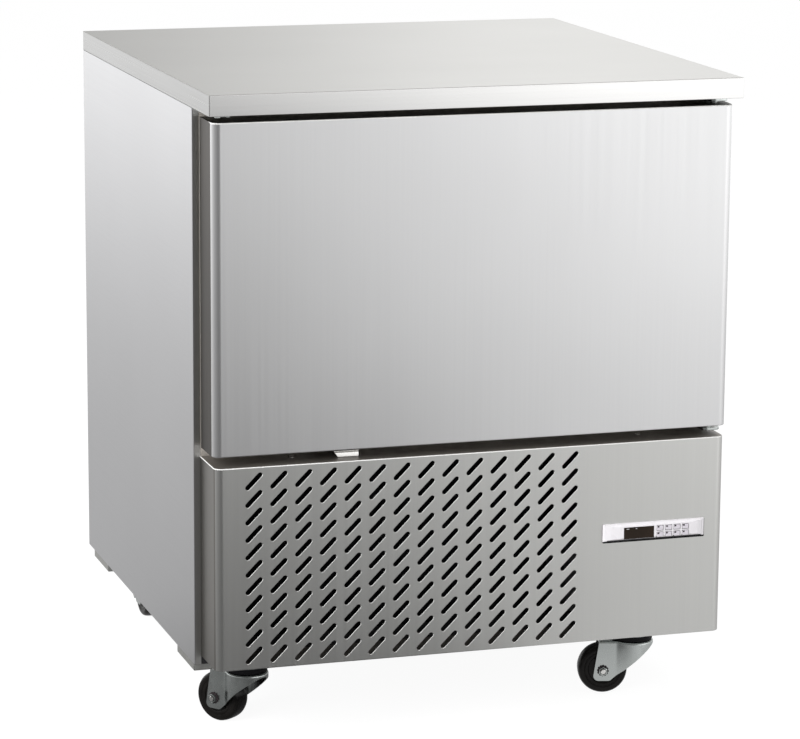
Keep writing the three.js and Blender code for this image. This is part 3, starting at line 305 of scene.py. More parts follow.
@dataclass(frozen=True)
class Spangled:
    """Hot-dip galvanised sheet with its crystal spangle."""

    name: str
    colour: Triple
    roughness: float = 0.42
    spangle: float = 115.0
    spangle_share: float = 0.45
    tones: Pair = (0.92, 1.07)
    mottle: float = 30.0
    depth: float = 0.02 * MM
    metallic: float = 0.9
    gloss: Pair = (-0.08, 0.1)

    def build(self) -> bpy.types.Material:
        """Builds cells of slightly different greys with a faint mottle over them.

        Returns:
            The material.
        """
        sheet = NodeSheet(self.name)
        cells = sheet.add("ShaderNodeTexVoronoi", {"Vector": sheet.place, "Scale": self.spangle})
        split = sheet.add("ShaderNodeSeparateColor", {"Color": cells.outputs["Color"]})
        mottle = sheet.noise((self.mottle,) * 3, detail=4.0)
        mixed = sheet.blend(split.outputs[0], mottle, self.spangle_share)
        sheet.tones(mixed, self.colour, *self.tones)
        sheet.rough(mixed, self.roughness, self.gloss)
        sheet.relief(mottle, self.depth)
        sheet.fix(Metallic=self.metallic)
        return sheet.material


@dataclass(frozen=True)
class Moulded:
    """Moulded plastic, rubber or enamel with a fine texture."""

    name: str
    colour: Triple
    roughness: float = 0.4
    texture: float = 900.0
    depth: float = 0.01 * MM
    tone: float = 0.05
    coat: float = 0.0
    specular: float = 0.5
    coat_roughness: float = 0.12
    marks: float = 38.0
    gloss: Pair = (-0.05, 0.07)

    def build(self) -> bpy.types.Material:
        """Builds the fine texture, faint shade changes and handling marks in the gloss.

        Returns:
            The material.
        """
        sheet = NodeSheet(self.name)
        texture = sheet.noise((self.texture,) * 3, detail=2.0)
        marks = sheet.noise((self.marks,) * 3, detail=4.0)
        sheet.tones(marks, self.colour, 1 - self.tone, 1 + self.tone)
        sheet.rough(marks, self.roughness, self.gloss)
        sheet.relief(texture, self.depth)
        coat = {"Coat_Weight": self.coat, "Coat_Roughness": self.coat_roughness}
        sheet.fix(**coat, Specular_IOR_Level=self.specular)
        return sheet.material


def brushed(axis: Axis, across: float = 420.0, along: float = 2.0) -> Triple:
    """Scale of a brushed grain.

    Args:
        axis: The axis that the brush went along.
        across: Features per metre across it.
        along: Features per metre along it.

    Returns:
        Features per metre on each axis.
    """
    return tuple(along if share else across for share in axis.value[0])


class Finish(Enum):
    """Every finish on the chiller."""

    SHEET_ACROSS = BrushedSteel("sheet_brushed_across", (0.62, 0.62, 0.615), brushed(Axis.X))
    # Darker copy of the sheet steel, brushed front to back, for the side panels' outer faces: painted shade.
    SHEET_BACKWARD = BrushedSteel("sheet_front_to_back_painted_shade", (0.505, 0.505, 0.515), brushed(Axis.Y))
    WORKTOP = BrushedSteel("worktop_brushed", (0.73, 0.725, 0.7), brushed(Axis.X, 380.0), roughness=0.33)
    # Darker copies of the worktop steel for its front edge and its side edges: painted shade.
    WORKTOP_FRONT = BrushedSteel("worktop_front_painted_shade", (0.55, 0.547, 0.541), brushed(Axis.X), roughness=0.18)
    WORKTOP_SIDE = BrushedSteel("worktop_side_painted_shade", (0.31, 0.31, 0.306), brushed(Axis.Y), roughness=0.28)
    DOOR = BrushedSteel("door_brushed", (0.62, 0.62, 0.623), brushed(Axis.Z, 380.0), roughness=0.34)
    # Near-black copy of the door steel for the door's side returns and top: painted shade.
    DOOR_EDGE = BrushedSteel(
        "door_edge_painted_shade", (0.04, 0.033, 0.026), brushed(Axis.Z, 260.0, 1.2), roughness=0.4, tone=0.45
    )
    VENT_PANEL = BrushedSteel(
        "vent_panel_brushed", (0.555, 0.555, 0.54), brushed(Axis.Z, 380.0), roughness=0.33
    )
    # Darker copy of the panel steel for its side returns and slot walls: painted shade.
    PANEL_RETURN = BrushedSteel(
        "vent_panel_painted_shade", (0.25, 0.24, 0.225), brushed(Axis.Z, 380.0), roughness=0.36, tone=0.08
    )
    FLANGE = BrushedSteel("side_flange", (0.64, 0.635, 0.615), brushed(Axis.Z), roughness=0.36)
    LINER = BrushedSteel("liner_satin", (0.6, 0.6, 0.59), brushed(Axis.Z, 4.0, 300.0), roughness=0.36)
    # Pale, barely metallic finish for the door's and the panel's top folds and the slots' rims: a painted
    # highlight.
    BRIGHT_FOLD = CoatedMetal(
        "painted_fold_highlight",
        (0.74, 0.74, 0.725),
        roughness=0.4,
        mottle=80.0,
        tone=0.03,
        depth=0.004 * MM,
        metallic=0.15,
    )
    # Dark brownish copy of the steel for the panel's top flange under the door and its lower lip: painted
    # shade.
    LEDGE = CoatedMetal(
        "vent_panel_ledge_painted_shade",
        (0.23, 0.21, 0.19),
        roughness=0.36,
        mottle=60.0,
        tone=0.12,
        depth=0.01 * MM,
        metallic=0.6,
    )
    # Darker brownish steel for the front frame and the door's underside: painted shade in the gaps round the
    # door.
    RECESS = CoatedMetal(
        "recess_steel_painted_shade",
        (0.47, 0.44, 0.4),
        roughness=0.36,
        mottle=60.0,
        tone=0.12,
        depth=0.01 * MM,
        metallic=0.6,
    )
    WIRE = CoatedMetal(
        "polished_wire", (0.6, 0.6, 0.59), roughness=0.3, mottle=60.0, tone=0.04, depth=0.003 * MM
    )
    ZINC = CoatedMetal(
        "bright_zinc_plating", (0.48, 0.505, 0.495), roughness=0.25, mottle=70.0, depth=0.015 * MM
    )
    POLISHED = CoatedMetal(
        "polished_steel", (0.75, 0.74, 0.72), roughness=0.16, mottle=90.0, tone=0.05, depth=0.005 * MM
    )
    FINS = CoatedMetal("bare_fins", (0.5, 0.5, 0.5), roughness=0.42, mottle=120.0)
    FAN_METAL = CoatedMetal("pressed_fan_blades", (0.42, 0.42, 0.42), roughness=0.38, mottle=60.0, tone=0.08)
    COPPER = CoatedMetal("copper_line", (0.6, 0.28, 0.14), roughness=0.3, mottle=50.0, tone=0.16)
    GALVANISED = Spangled("galvanised_sheet", (0.5, 0.51, 0.5))
    # Darker copy of the galvanised sheet for the channels under the body: painted shade.
    CHANNEL = Spangled("channel_galvanised_painted_shade", (0.4, 0.4, 0.385))
    # Near-black fins for the condenser behind the slots: painted shade.
    BLACK_FINS = Moulded(
        "fin_black_painted_shade",
        (0.006, 0.006, 0.007),
        roughness=0.7,
        texture=120.0,
        depth=0.02 * MM,
        tone=0.3,
        specular=0.1,
    )
    BLACK_PAINT = Moulded(
        "black_enamel",
        (0.012, 0.012, 0.013),
        roughness=0.45,
        texture=500.0,
        depth=0.03 * MM,
        tone=0.2,
        coat=0.1,
        specular=0.25,
    )
    BEZEL = Moulded(
        "bezel_white",
        (0.7, 0.68, 0.705),
        roughness=0.24,
        texture=1200.0,
        depth=0.002 * MM,
        tone=0.012,
        coat=0.4,
    )
    KEY = Moulded(
        "key_lavender",
        (0.57, 0.54, 0.585),
        roughness=0.34,
        texture=1000.0,
        depth=0.004 * MM,
        tone=0.03,
        coat=0.2,
    )
    # Near-black finish for the keys' printed dots, and painted shade on the key flanges in the gaps and on
    # the axle's toothed washers.
    MARK = Moulded("dark_print_and_painted_shade", (0.03, 0.024, 0.026), roughness=0.5, specular=0.2)
    PALE_MARK = Moulded("mark_pale", (0.45, 0.44, 0.46))
    DISPLAY = Moulded(
        "display_window",
        (0.018, 0.012, 0.008),
        roughness=0.16,
        texture=200.0,
        depth=0.0005 * MM,
        tone=0.2,
        specular=0.12,
    )
    BLACK_PLASTIC = Moulded(
        "black_moulding", (0.02, 0.02, 0.021), roughness=0.42, texture=800.0, depth=0.02 * MM, tone=0.12
    )
    # Near-black finish for the casters' raceway gaps, the nuts' sunken ends and the layer behind the bezel:
    # painted shade and a painted shadow.
    SEAL = Moulded(
        "painted_shade_black", (0.006, 0.006, 0.007), roughness=0.5, texture=500.0, tone=0.2, specular=0.1
    )
    WHEEL = Moulded(
        "hard_black_wheel",
        (0.008, 0.0072, 0.0066),
        roughness=0.2,
        texture=260.0,
        depth=0.012 * MM,
        tone=0.25,
        specular=0.14,
    )
    RUBBER = Moulded(
        "soft_grey_gasket", (0.045, 0.044, 0.043), roughness=0.62, texture=700.0, depth=0.03 * MM, tone=0.12
    )
    FOAM = Moulded(
        "insulating_foam", (0.62, 0.54, 0.3), roughness=0.85, texture=260.0, depth=0.3 * MM, tone=0.12
    )
    WHITE_CLIP = Moulded("clip_white", (0.72, 0.72, 0.7), tone=0.03)

    def material(self) -> bpy.types.Material:
        """The finish's material, built at its first use."""
        return bpy.data.materials.get(self.value.name) or self.value.build()


# Bench


class Piece:
    """A mesh on the bench, from its first primitive to its place on a body."""

    def __init__(self, name: str) -> None:
        """Takes the primitive that was just added, and puts its size and place in its mesh.

        Args:
            name: The piece's name.
        """
        self.thing = bpy.context.active_object
        self.thing.name = self.thing.data.name = name
        bpy.ops.object.transform_apply(location=True, rotation=True, scale=True)

    @classmethod
    def block(cls, name: str, low: Sequence[float], high: Sequence[float]) -> "Piece":
        """A box between two corners.

        Args:
            name: The piece's name.
            low: Its lowest corner.
            high: Its highest corner.

        Returns:
            The piece.
        """
        low, high = Vector(low), Vector(high)
        bpy.ops.object.select_all(action="DESELECT")
        bpy.ops.mesh.primitive_cube_add(size=1.0, location=(low + high) / 2)
        bpy.context.active_object.scale = high - low
        return cls(name)

    @classmethod
    def prism(
        cls, name: str, centre: Sequence[float], radius: float, length: float, axis: Axis, sides: int = 32
    ) -> "Piece":
        """A bar of so many sides along an axis.

        Args:
            name: The piece's name.
            centre: The bar's middle.
            radius: Radius of its corners.
            length: Length along the axis.
            axis: The axis that it lies along.
            sides: Number of sides.

        Returns:
            The piece.
        """
        bpy.ops.object.select_all(action="DESELECT")
        bpy.ops.mesh.primitive_cylinder_add(vertices=sides, radius=radius, depth=length, location=centre)
        turn = Vector(Axis.Z.value[0]).rotation_difference(Vector(axis.value[0]))
        bpy.context.active_object.rotation_mode = "QUATERNION"
        bpy.context.active_object.rotation_quaternion = turn
        return cls(name)

    @classmethod
    def drawn(cls, name: str, points: Sequence[Sequence[float]], filled: bool = True) -> "Piece":
        """An outline drawn from point to point, filled with one face unless it stays open.

        Args:
            name: The piece's name.
            points: The outline's corners in order.
            filled: Whether the outline is closed and filled.

        Returns:
            The piece.
        """
        bpy.ops.object.select_all(action="DESELECT")
        bpy.ops.mesh.primitive_plane_add(size=MM)
        piece = cls(name)
        places = [Vector(point) for point in points]
        with piece.editing(Select.VERTEX):
            bpy.ops.mesh.select_all(action="SELECT")
            bpy.ops.mesh.merge(type="CENTER")
            bpy.ops.transform.translate(value=places[0])
            for start, end in pairwise(places):
                bpy.ops.mesh.extrude_region_move(TRANSFORM_OT_translate={"value": end - start})
            if filled:
                bpy.ops.mesh.select_all(action="SELECT")
                bpy.ops.mesh.edge_face_add()
        return piece

    @classmethod
    def turned(
        cls, name: str, profile: Sequence[Pair], centre: Sequence[float], axis: Axis, steps: int = 32
    ) -> "Piece":
        """A body turned about an axis.

        Args:
            name: The piece's name.
            profile: Points of radius and height along the axis.
            centre: The point of the axis at height zero.
            axis: The axis.
            steps: Steps of a full turn.

        Returns:
            The piece.
        """
        along, outward = (Vector(direction) for direction in axis.value)
        points = [Vector(centre) + outward * radius + along * height for radius, height in profile]
        piece = cls.drawn(name, points, filled=False)
        with piece.editing(Select.VERTEX):
            bpy.ops.mesh.select_all(action="SELECT")
            bpy.ops.mesh.spin(steps=steps, angle=math.tau, center=centre, axis=along)
        return piece.tidy()

    @contextmanager
    def editing(self, mode: Select = Select.FACE) -> Iterator[None]:
        """Opens the piece, and nothing else, in edit mode.

        Args:
            mode: What is selected there.
        """
        self.hold()
        bpy.context.tool_settings.mesh_select_mode = mode.value
        bpy.ops.object.mode_set(mode="EDIT")
        try:
            yield
        finally:
            bpy.ops.object.mode_set(mode="OBJECT")

    def hold(self) -> None:
        """Selects the piece alone."""
        bpy.ops.object.select_all(action="DESELECT")
        self.thing.select_set(True)
        bpy.context.view_layer.objects.active = self.thing

    def tidy(self) -> "Piece":
        """Merges doubled points and turns every face outwards.

        Returns:
            The piece.
        """
        with self.editing():
            bpy.ops.mesh.select_all(action="SELECT")
            bpy.ops.mesh.remove_doubles(threshold=0.002 * MM)
            bpy.ops.mesh.normals_make_consistent(inside=False)
        return self

    def pick(self, faces: FaceTest | None = None, edges: EdgeTest | None = None) -> None:
        """Selects faces by centre and normal, or edges by their two ends.

        Args:
            faces: Test of a face's centre and normal.
            edges: Test of an edge's two ends.
        """
        mesh = self.thing.data
        for group in (mesh.vertices, mesh.edges, mesh.polygons):
            group.foreach_set("select", [False] * len(group))
        found = 0
        if faces:
            for polygon in mesh.polygons:
                polygon.select = faces(polygon.center, polygon.normal)
                found += polygon.select
        if edges:
            for edge in mesh.edges:
                dish_shade = [mesh.vertices[index] for index in edge.vertices]
                edge.select = edges(dish_shade[0].co, dish_shade[1].co)
                found += edge.select
                for end in dish_shade:
                    end.select = end.select or edge.select
        if not found:
            raise ValueError(f"nothing to pick on {self.thing.name}")

    def extrude(self, faces: FaceTest, by: Sequence[float]) -> "Piece":
        """Extrudes the faces that pass a test.

        Args:
            faces: Test of a face's centre and normal.
            by: How far they go.

        Returns:
            The piece.
        """
        self.pick(faces=faces)
        with self.editing():
            bpy.ops.mesh.extrude_region_move(TRANSFORM_OT_translate={"value": Vector(by)})
        return self

    def raise_outline(self, by: Sequence[float]) -> "Piece":
        """Gives a drawn outline its length.

        Args:
            by: How far it is raised.

        Returns:
            The piece.
        """
        with self.editing():
            bpy.ops.mesh.select_all(action="SELECT")
            bpy.ops.mesh.extrude_region_move(TRANSFORM_OT_translate={"value": Vector(by)})
        return self.tidy()

    def inset(self, faces: FaceTest, width: float, depth: float) -> "Piece":
        """Insets the faces that pass a test, and sinks or raises them.

        Args:
            faces: Test of a face's centre and normal.
            width: How far they shrink.
            depth: How far they rise.

        Returns:
            The piece.
        """
        self.pick(faces=faces)
        with self.editing():
            bpy.ops.mesh.inset(thickness=width, depth=depth, use_even_offset=True)
        return self

    def open(self, faces: FaceTest) -> "Piece":
        """Removes the faces that pass a test.

        Args:
            faces: Test of a face's centre and normal.

        Returns:
            The piece.
        """
        self.pick(faces=faces)
        with self.editing():
            bpy.ops.mesh.delete(type="FACE")
        return self

    def bevel(self, edges: EdgeTest, width: float, segments: int = 3) -> "Piece":
        """Rounds the edges that pass a test.

        Args:
            edges: Test of an edge's two ends.
            width: Radius of the rounding.
            segments: Steps of the rounding.

        Returns:
            The piece.
        """
        self.pick(edges=edges)
        with self.editing(Select.EDGE):
            settings = {"offset_type": "OFFSET", "profile": 0.5, "affect": "EDGES"}
            bpy.ops.mesh.bevel(offset=width, segments=segments, **settings)
        return self

    def modify(self, kind: str, **settings: object) -> "Piece":
        """Adds a modifier and applies it.

        Args:
            kind: The modifier's type.
            **settings: Its properties.

        Returns:
            The piece.
        """
        modifier = self.thing.modifiers.new(kind.lower(), kind)
        for key, value in settings.items():
            setattr(modifier, key, value)
        self.hold()
        bpy.ops.object.modifier_apply(modifier=modifier.name)
        return self

    def soften(self, width: float, segments: int = 2, **settings: object) -> "Piece":
        """Rounds every edge that isn't nearly flat."""
        return self.modify("BEVEL", width=width, segments=segments, limit_method="ANGLE", **settings)

    def wall(self, thickness: float) -> "Piece":
        """Gives an open shell its sheet thickness, inwards."""
        return self.modify("SOLIDIFY", thickness=thickness, offset=-1.0, use_even_offset=True)

    def combine(self, operation: str, *tools: "Piece") -> "Piece":
        """Cuts or trims the piece with others, which are used up.

        Args:
            operation: DIFFERENCE or INTERSECT.
            *tools: The other pieces.

        Returns:
            The piece.
        """
        for tool in tools:
            self.modify("BOOLEAN", operation=operation, solver="EXACT", object=tool.thing)
            bpy.data.objects.remove(tool.thing)
        return self

    def cut(self, *tools: "Piece") -> "Piece":
        """Cuts other pieces out of this one, which uses them up."""
        return self.combine("DIFFERENCE", *tools)

    def with_parts(self, *parts: "Piece") -> "Piece":
        """Makes other pieces loose parts of this one.

        Args:
            *parts: The other pieces.

        Returns:
            The piece.
        """
        self.hold()
        for part in parts:
            part.thing.select_set(True)
        bpy.ops.object.join()
        return self

    def copy(self, name: str) -> "Piece":
        """Copies the piece with its own mesh.

        Args:
            name: The copy's name.

        Returns:
            The copy.
        """
        self.hold()
        bpy.ops.object.duplicate(linked=False)
        return Piece(name)

    def move(self, place: Sequence[float], turn: float = 0.0) -> "Piece":
        """Turns the piece about the Z axis and moves it, within its mesh.

        Args:
            place: How far it moves.
            turn: Angle in radians.

        Returns:
            The piece.
        """
        self.thing.rotation_euler = (0.0, 0.0, turn)
        self.thing.location = place
        self.hold()
        bpy.ops.object.transform_apply(location=True, rotation=True, scale=True)
        return self

    def dress(self, finish: Finish, *others: tuple[Finish, FaceTest]) -> "Piece":
        """Gives the piece its finish, and others to the faces that pass their tests.

        Args:
            finish: The finish of the whole piece.
            *others: Pairs of a finish and the test of a face's centre and normal.

        Returns:
            The piece.
        """
        mesh = self.thing.data
        mesh.materials.clear()
        mesh.materials.append(finish.material())
        for index, (other, test) in enumerate(others, start=1):
            mesh.materials.append(other.material())
            for polygon in mesh.polygons:
                if test(polygon.center, polygon.normal):
                    polygon.material_index = index
        return self

    def seat(self, body: str, slot: str, *nodes: str, angle: float = 35.0) -> None:
        """Smooths the piece, puts it on its body and hides the nodes that it stands for.

        Args:
            body: The body that it rides on.
            slot: The record's material slot. Not used.
            *nodes: The nodes that it replaces.
            angle: Edges sharper than this stay sharp, in degrees.
        """
        self.hold()
        bpy.ops.object.shade_smooth_by_angle(angle=math.radians(angle))
        self.modify("WEIGHTED_NORMAL", keep_sharp=True)
        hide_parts(*nodes)
        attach(self.thing, body)
        LOG.info("%s: %d faces on %s", self.thing.name, len(self.thing.data.polygons), body)


def upright(a: Vector, b: Vector) -> bool:
    """Whether an edge runs along Z."""
    return abs(a.z - b.z) > LENGTHWAYS * max(abs(a.x - b.x), abs(a.y - b.y))


def along_y(a: Vector, b: Vector) -> bool:
    """Whether an edge runs along Y."""
    return abs(a.y - b.y) > LENGTHWAYS * max(abs(a.x - b.x), abs(a.z - b.z))


def upright_at(front: float) -> EdgeTest:
    """A test for the edges at a piece's front that run along Z."""
    return lambda a, b: upright(a, b) and a.y < front + MM


def level_at(z: float, before: float = math.inf) -> EdgeTest:
    """A test for edges that lie at a height.

    Args:
        z: The height.
        before: The place along Y that they lie in front of.

    Returns:
        The test.
    """
    slack = 0.01 * MM
    return lambda a, b: abs(a.z - z) < slack and abs(b.z - z) < slack and max(a.y, b.y) < before


def facing(direction: Sequence[float], least: float = 0.9) -> FaceTest:
    """A test for faces that point in a direction."""
    return lambda centre, normal: normal.dot(direction) > least


def crossing(axis: Axis, least: float = 0.8) -> FaceTest:
    """A test for faces that lie across an axis, whichever way they point."""
    return lambda centre, normal: abs(normal.dot(axis.value[0])) > least


def top_fold(top: float, fold: float) -> FaceTest:
    """A test for the rounded fold along a sheet's upper edge, which gets a painted highlight."""
    return lambda centre, normal: 0.2 < normal.z < SQUARE and centre.z > top - fold


def border(width: float) -> Vector:
    """An inset from the left, right, top and bottom of something that faces the front."""
    return Vector((width, 0.0, width))


def arc(centre: Pair, radius: float, start: int, end: int, step: int) -> list[Pair]:
    """Points along an arc.

    Args:
        centre: The arc's middle.
        radius: Its radius.
        start: Angle of its first point, in degrees.
        end: Angle of its last point.
        step: Angle from point to point.

    Returns:
        The points.
    """
    angles = [math.radians(degrees) for degrees in range(start, end + 1, step)]
    return [(centre[0] + radius * math.cos(angle), centre[1] + radius * math.sin(angle)) for angle in angles]


# Sub-assemblies


@dataclass
class Cabinet:
    """Worktop, side panels, caster channels and the rear screws.

    A screw's outline and its crossed recess are shares of its head's radius and height.
    """

    sheet: float = 1.5 * MM
    corner: float = 1.3 * MM
    fold: float = 1.2 * MM
    lip: float = 25 * MM
    overhang: float = 100 * MM
    flange: float = 10 * MM
    rear_flange: float = 20 * MM
    channel_sheet: float = 3 * MM
    channel_bend: float = 2.4 * MM
    screw_radius: float = 4.2 * MM
    screw_height: float = 1.6 * MM
    screw_outline: tuple[Pair, ...] = (
        (0.0, 0.0),
        (1.0, 0.0),
        (1.0, 0.35),
        (0.86, 0.75),
        (0.5, 0.96),
        (0.0, 1.0),
    )
    recess_length: float = 0.55
    recess_width: float = 0.12
    recess_depth: float = 0.5
    screw_inset: float = 14 * MM
    screw_side_inset: float = 30.8 * MM

    def worktop(self) -> None:
        """Folded worktop with welded corners and rounded folds, hollow underneath."""
        low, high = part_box("worktop")
        top = Piece.block("worktop_sheet", low, high)
        top.bevel(upright, self.corner, segments=4)
        top.bevel(level_at(high.z), self.fold)
        top.bevel(level_at(low.z), self.fold / 2, segments=2)
        inner = Vector((self.sheet,) * 3)
        hollow = Piece.block("hollow", low + inner, high - inner)
        mouth_low = (low.x + self.lip, low.y + self.overhang + self.lip, low.z - self.sheet)
        mouth_high = (high.x - self.lip, high.y - self.lip, low.z + 2 * self.sheet)
        top.cut(hollow, Piece.block("mouth", mouth_low, mouth_high))
        # The sides and the front get darker copies of the worktop steel: painted shade.
        sides = (Finish.WORKTOP_SIDE, crossing(Axis.X))
        front = (Finish.WORKTOP_FRONT, crossing(Axis.Y))
        top.dress(Finish.WORKTOP, sides, front)
        top.seat("cabinet", "worktop_steel", "worktop")

    def side_panel(self, node: str, name: str) -> None:
        """Side panel folded inwards at the front and the rear.

        Args:
            node: The node that it replaces.
            name: The piece's name.
        """
        low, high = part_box(node)
        outward = 1.0 if low.x > 0 else -1.0
        outer = max(abs(low.x), abs(high.x))
        inner = outer - self.sheet
        plan = [
            (outer, low.y),
            (outer, high.y),
            (outer - self.rear_flange, high.y),
            (outer - self.rear_flange, high.y - self.sheet),
            (inner, high.y - self.sheet),
            (inner, low.y + self.sheet),
            (outer - self.flange, low.y + self.sheet),
            (outer - self.flange, low.y),
        ]
        panel = Piece.drawn(name, [(outward * x, y, low.z) for x, y in plan])
        panel.raise_outline((0.0, 0.0, high.z - low.z))
        panel.bevel(lambda a, b: upright(a, b) and abs(a.x) > outer - SLACK, self.fold)
        fold_end = outer - self.fold
        rear = (Finish.SHEET_ACROSS, facing(REARWARD, 0.8))
        front = (Finish.FLANGE, lambda centre, normal: normal.y < -0.8 and abs(centre.x) < fold_end)
        # The outer side is a darker copy of the steel on the rear flange: painted shade.
        panel.dress(Finish.SHEET_BACKWARD, rear, front)
        panel.seat("cabinet", "side_steel", node)

    def channel(self, node: str, name: str) -> None:
        """Channel under the body, folded up all round, that carries a pair of casters.

        Args:
            node: The node that it replaces.
            name: The piece's name.
        """
        low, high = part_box(node)
        trough = Piece.block(name, low, high)
        trough.bevel(level_at(low.z), self.channel_bend, segments=4)
        t = self.channel_sheet
        hollow_high = high + Vector((-t, -t, MM))
        trough.cut(Piece.block("hollow", low + Vector((t, t, t)), hollow_high))
        # A darker copy of the galvanised sheet: painted shade under the body.
        trough.dress(Finish.CHANNEL)
        trough.seat("cabinet", "channel_steel", node)

    def screw(self, name: str, place: Sequence[float], axis: Axis) -> None:
        """Pan-head screw with a crossed recess, standing on a sheet.

        Args:
            name: The piece's name.
            place: Where its head sits.
            axis: The axis that its head points along.
        """
        r, h = self.screw_radius, self.screw_height
        head = Piece.turned(name, [(x * r, z * h) for x, z in self.screw_outline], place, axis, steps=24)
        along, across = (Vector(direction) for direction in axis.value)
        other = along.cross(across)
        top = Vector(place) + along * h
        for first, second in ((across, other), (other, across)):
            reach = first * self.recess_length * r + second * self.recess_width * r
            reach = Vector([abs(value) for value in reach + along * self.recess_depth * h])
            head.cut(Piece.block("recess", top - reach, top + reach))
        head.dress(Finish.POLISHED)
        head.seat("cabinet", "hinge_steel")

    def rear_screws(self) -> None:
        """Screws that hold the rear panel and the rear grille."""
        count = 0
        for node in ("rear_panel", "rear_grille"):
            low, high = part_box(node)
            for x in (low.x + self.screw_side_inset, (low.x + high.x) / 2, high.x - self.screw_side_inset):
                for z in (low.z + self.screw_inset, high.z - self.screw_inset):
                    count += 1
                    self.screw(f"rear_screw_{count}", (x, high.y, z), Axis.Y)

    def build(self) -> None:
        """Builds every cabinet piece."""
        self.worktop()
        self.side_panel("left_side_panel", "left_side_sheet")
        self.side_panel("right_side_panel", "right_side_sheet")
        self.channel("front_channel", "front_channel_trough")
        self.channel("rear_channel", "rear_channel_trough")
        self.rear_screws()


@dataclass
class Door:
    """Door skin and gasket, with the hinges, the catch strip and the stop on the cabinet."""

    sheet: float = 1.5 * MM
    bend: float = 12 * MM
    fold: float = 1.8 * MM
    gasket_width: float = 22 * MM
    gasket_round: float = 1.2 * MM
    groove_inset: float = 8.8 * MM
    groove_depth: float = 3 * MM
    pin_radius: float = 5 * MM
    pin_clearance: float = 0.3 * MM
    pin_length: float = 24 * MM
    bore_depth: float = 14.3 * MM
    plate: float = 4 * MM
    plate_corner: float = 8 * MM
    plate_edge: float = 0.5 * MM
    leg_width: float = 8 * MM
    leg_sheet: float = 3 * MM
    leg_edge: float = 0.6 * MM
    washer_gap: float = 0.2 * MM
    washer_width: float = 4 * MM
    washer_thickness: float = 1.2 * MM
    catch_sheet: float = 1.3 * MM
    catch_slant: float = 9 * MM
    catch_lip: float = 9.4 * MM
    catch_edge: float = 0.35 * MM
    stop_inset: Pair = (10 * MM, 5 * MM)
    stop_size: Triple = (22 * MM, 14 * MM, 1.4 * MM)
    stop_edge: float = 0.4 * MM
    tongue_span: Pair = (0.6 * MM, 6 * MM)
    tongues: tuple[Triple, ...] = ((0.5 * MM, 7.5 * MM, 2.8 * MM), (16 * MM, 21 * MM, 2.4 * MM))

    def pin_place(self) -> Pair:
        """Place of both hinge pins: the door hinge's own axis."""
        joint = next(row for row in frame["joints"] if row["name"] == "door_hinge")
        return joint["pos_m"][0], joint["pos_m"][1]

    def skin(self) -> None:
        """Outer sheet with two wide upright bends, closed at the top and the bottom."""
        low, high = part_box("door_skin")
        shell = Piece.block("door_shell", low, high)
        shell.open(facing(REARWARD))
        shell.bevel(upright_at(low.y), self.bend, segments=10)
        for z in (low.z, high.z):
            shell.bevel(level_at(z, before=low.y + self.bend + SLACK), self.fold)
        shell.wall(self.sheet)
        x, y = self.pin_place()
        radius = self.pin_radius + self.pin_clearance
        for z in (low.z, high.z):
            shell.cut(Piece.prism("bore", (x, y, z), radius, 2 * self.bore_depth, Axis.Z))
        bend_end = low.y + self.bend + 0.4 * MM
        # The side returns and the top get the near-black copy of the door steel: painted shade.
        sides = (Finish.DOOR_EDGE, lambda centre, _: centre.y > bend_end)
        top = (Finish.DOOR_EDGE, lambda centre, normal: normal.z > SQUARE and centre.z > low.z + self.bend)
        # The underside gets the darker brownish steel: painted shade.
        bottom = (Finish.RECESS, lambda centre, normal: normal.z < -SQUARE and centre.z < high.z - self.bend)
        # The top fold gets the pale finish: a painted highlight.
        fold_highlight = (Finish.BRIGHT_FOLD, top_fold(high.z, self.fold))
        shell.dress(Finish.DOOR, sides, top, bottom, fold_highlight)
        shell.seat("door", "door_steel", "door_skin")

    def gasket(self) -> None:
        """Soft ring with rounded lips and a groove along its middle."""
        low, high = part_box("door_gasket")
        ring = Piece.block("door_seal", low, high)
        inside, past = border(self.gasket_width), REARWARD * MM
        ring.cut(Piece.block("inside", low + inside - past, high - inside + past))
        outer, inner = border(self.groove_inset), border(self.gasket_width - self.groove_inset)
        groove = Piece.block("groove", low + outer, high - outer)
        groove.cut(Piece.block("core", low + inner - past, high - inner + past))
        groove.move((0.0, high.y - low.y - self.groove_depth, 0.0))
        ring.cut(groove)
        ring.soften(self.gasket_round)
        ring.dress(Finish.RUBBER)
        ring.seat("door", "gasket_rubber", "door_gasket")

    def hinge(self, node: str, name: str, up: float) -> None:
        """Hinge bracket with its leg, washer and the pin that goes into the door.

        Args:
            node: The node that it replaces.
            name: The piece's name.
            up: 1 for the bottom hinge and -1 for the top one.
        """
        low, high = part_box(node)
        start = low.z if up > 0 else high.z
        face = start + up * self.plate
        bracket = Piece.block(name, (low.x, low.y, min(start, face)), (high.x, high.y, max(start, face)))
        bracket.bevel(upright_at(low.y), self.plate_corner, segments=6)
        bracket.soften(self.plate_edge)
        leg = Piece.block("leg", (high.x - self.leg_width, high.y - self.leg_sheet, low.z), high)
        leg.soften(self.leg_edge)
        r, tip = self.pin_radius, start + up * self.pin_length
        pin_profile = [(0.0, start), (r, start), (r, tip - up * MM), (r - MM, tip), (0.0, tip)]
        bore, rim = r + self.washer_gap, r + self.washer_width
        top = face + up * self.washer_thickness
        washer_profile = [(bore, face), (rim, face), (rim, top), (bore, top), (bore, face)]
        foot = (*self.pin_place(), 0.0)
        pin = Piece.turned("pin", pin_profile, foot, Axis.Z)
        washer = Piece.turned("washer", washer_profile, foot, Axis.Z)
        bracket.with_parts(leg, pin, washer).dress(Finish.ZINC)
        bracket.seat("cabinet", "hinge_steel", node)

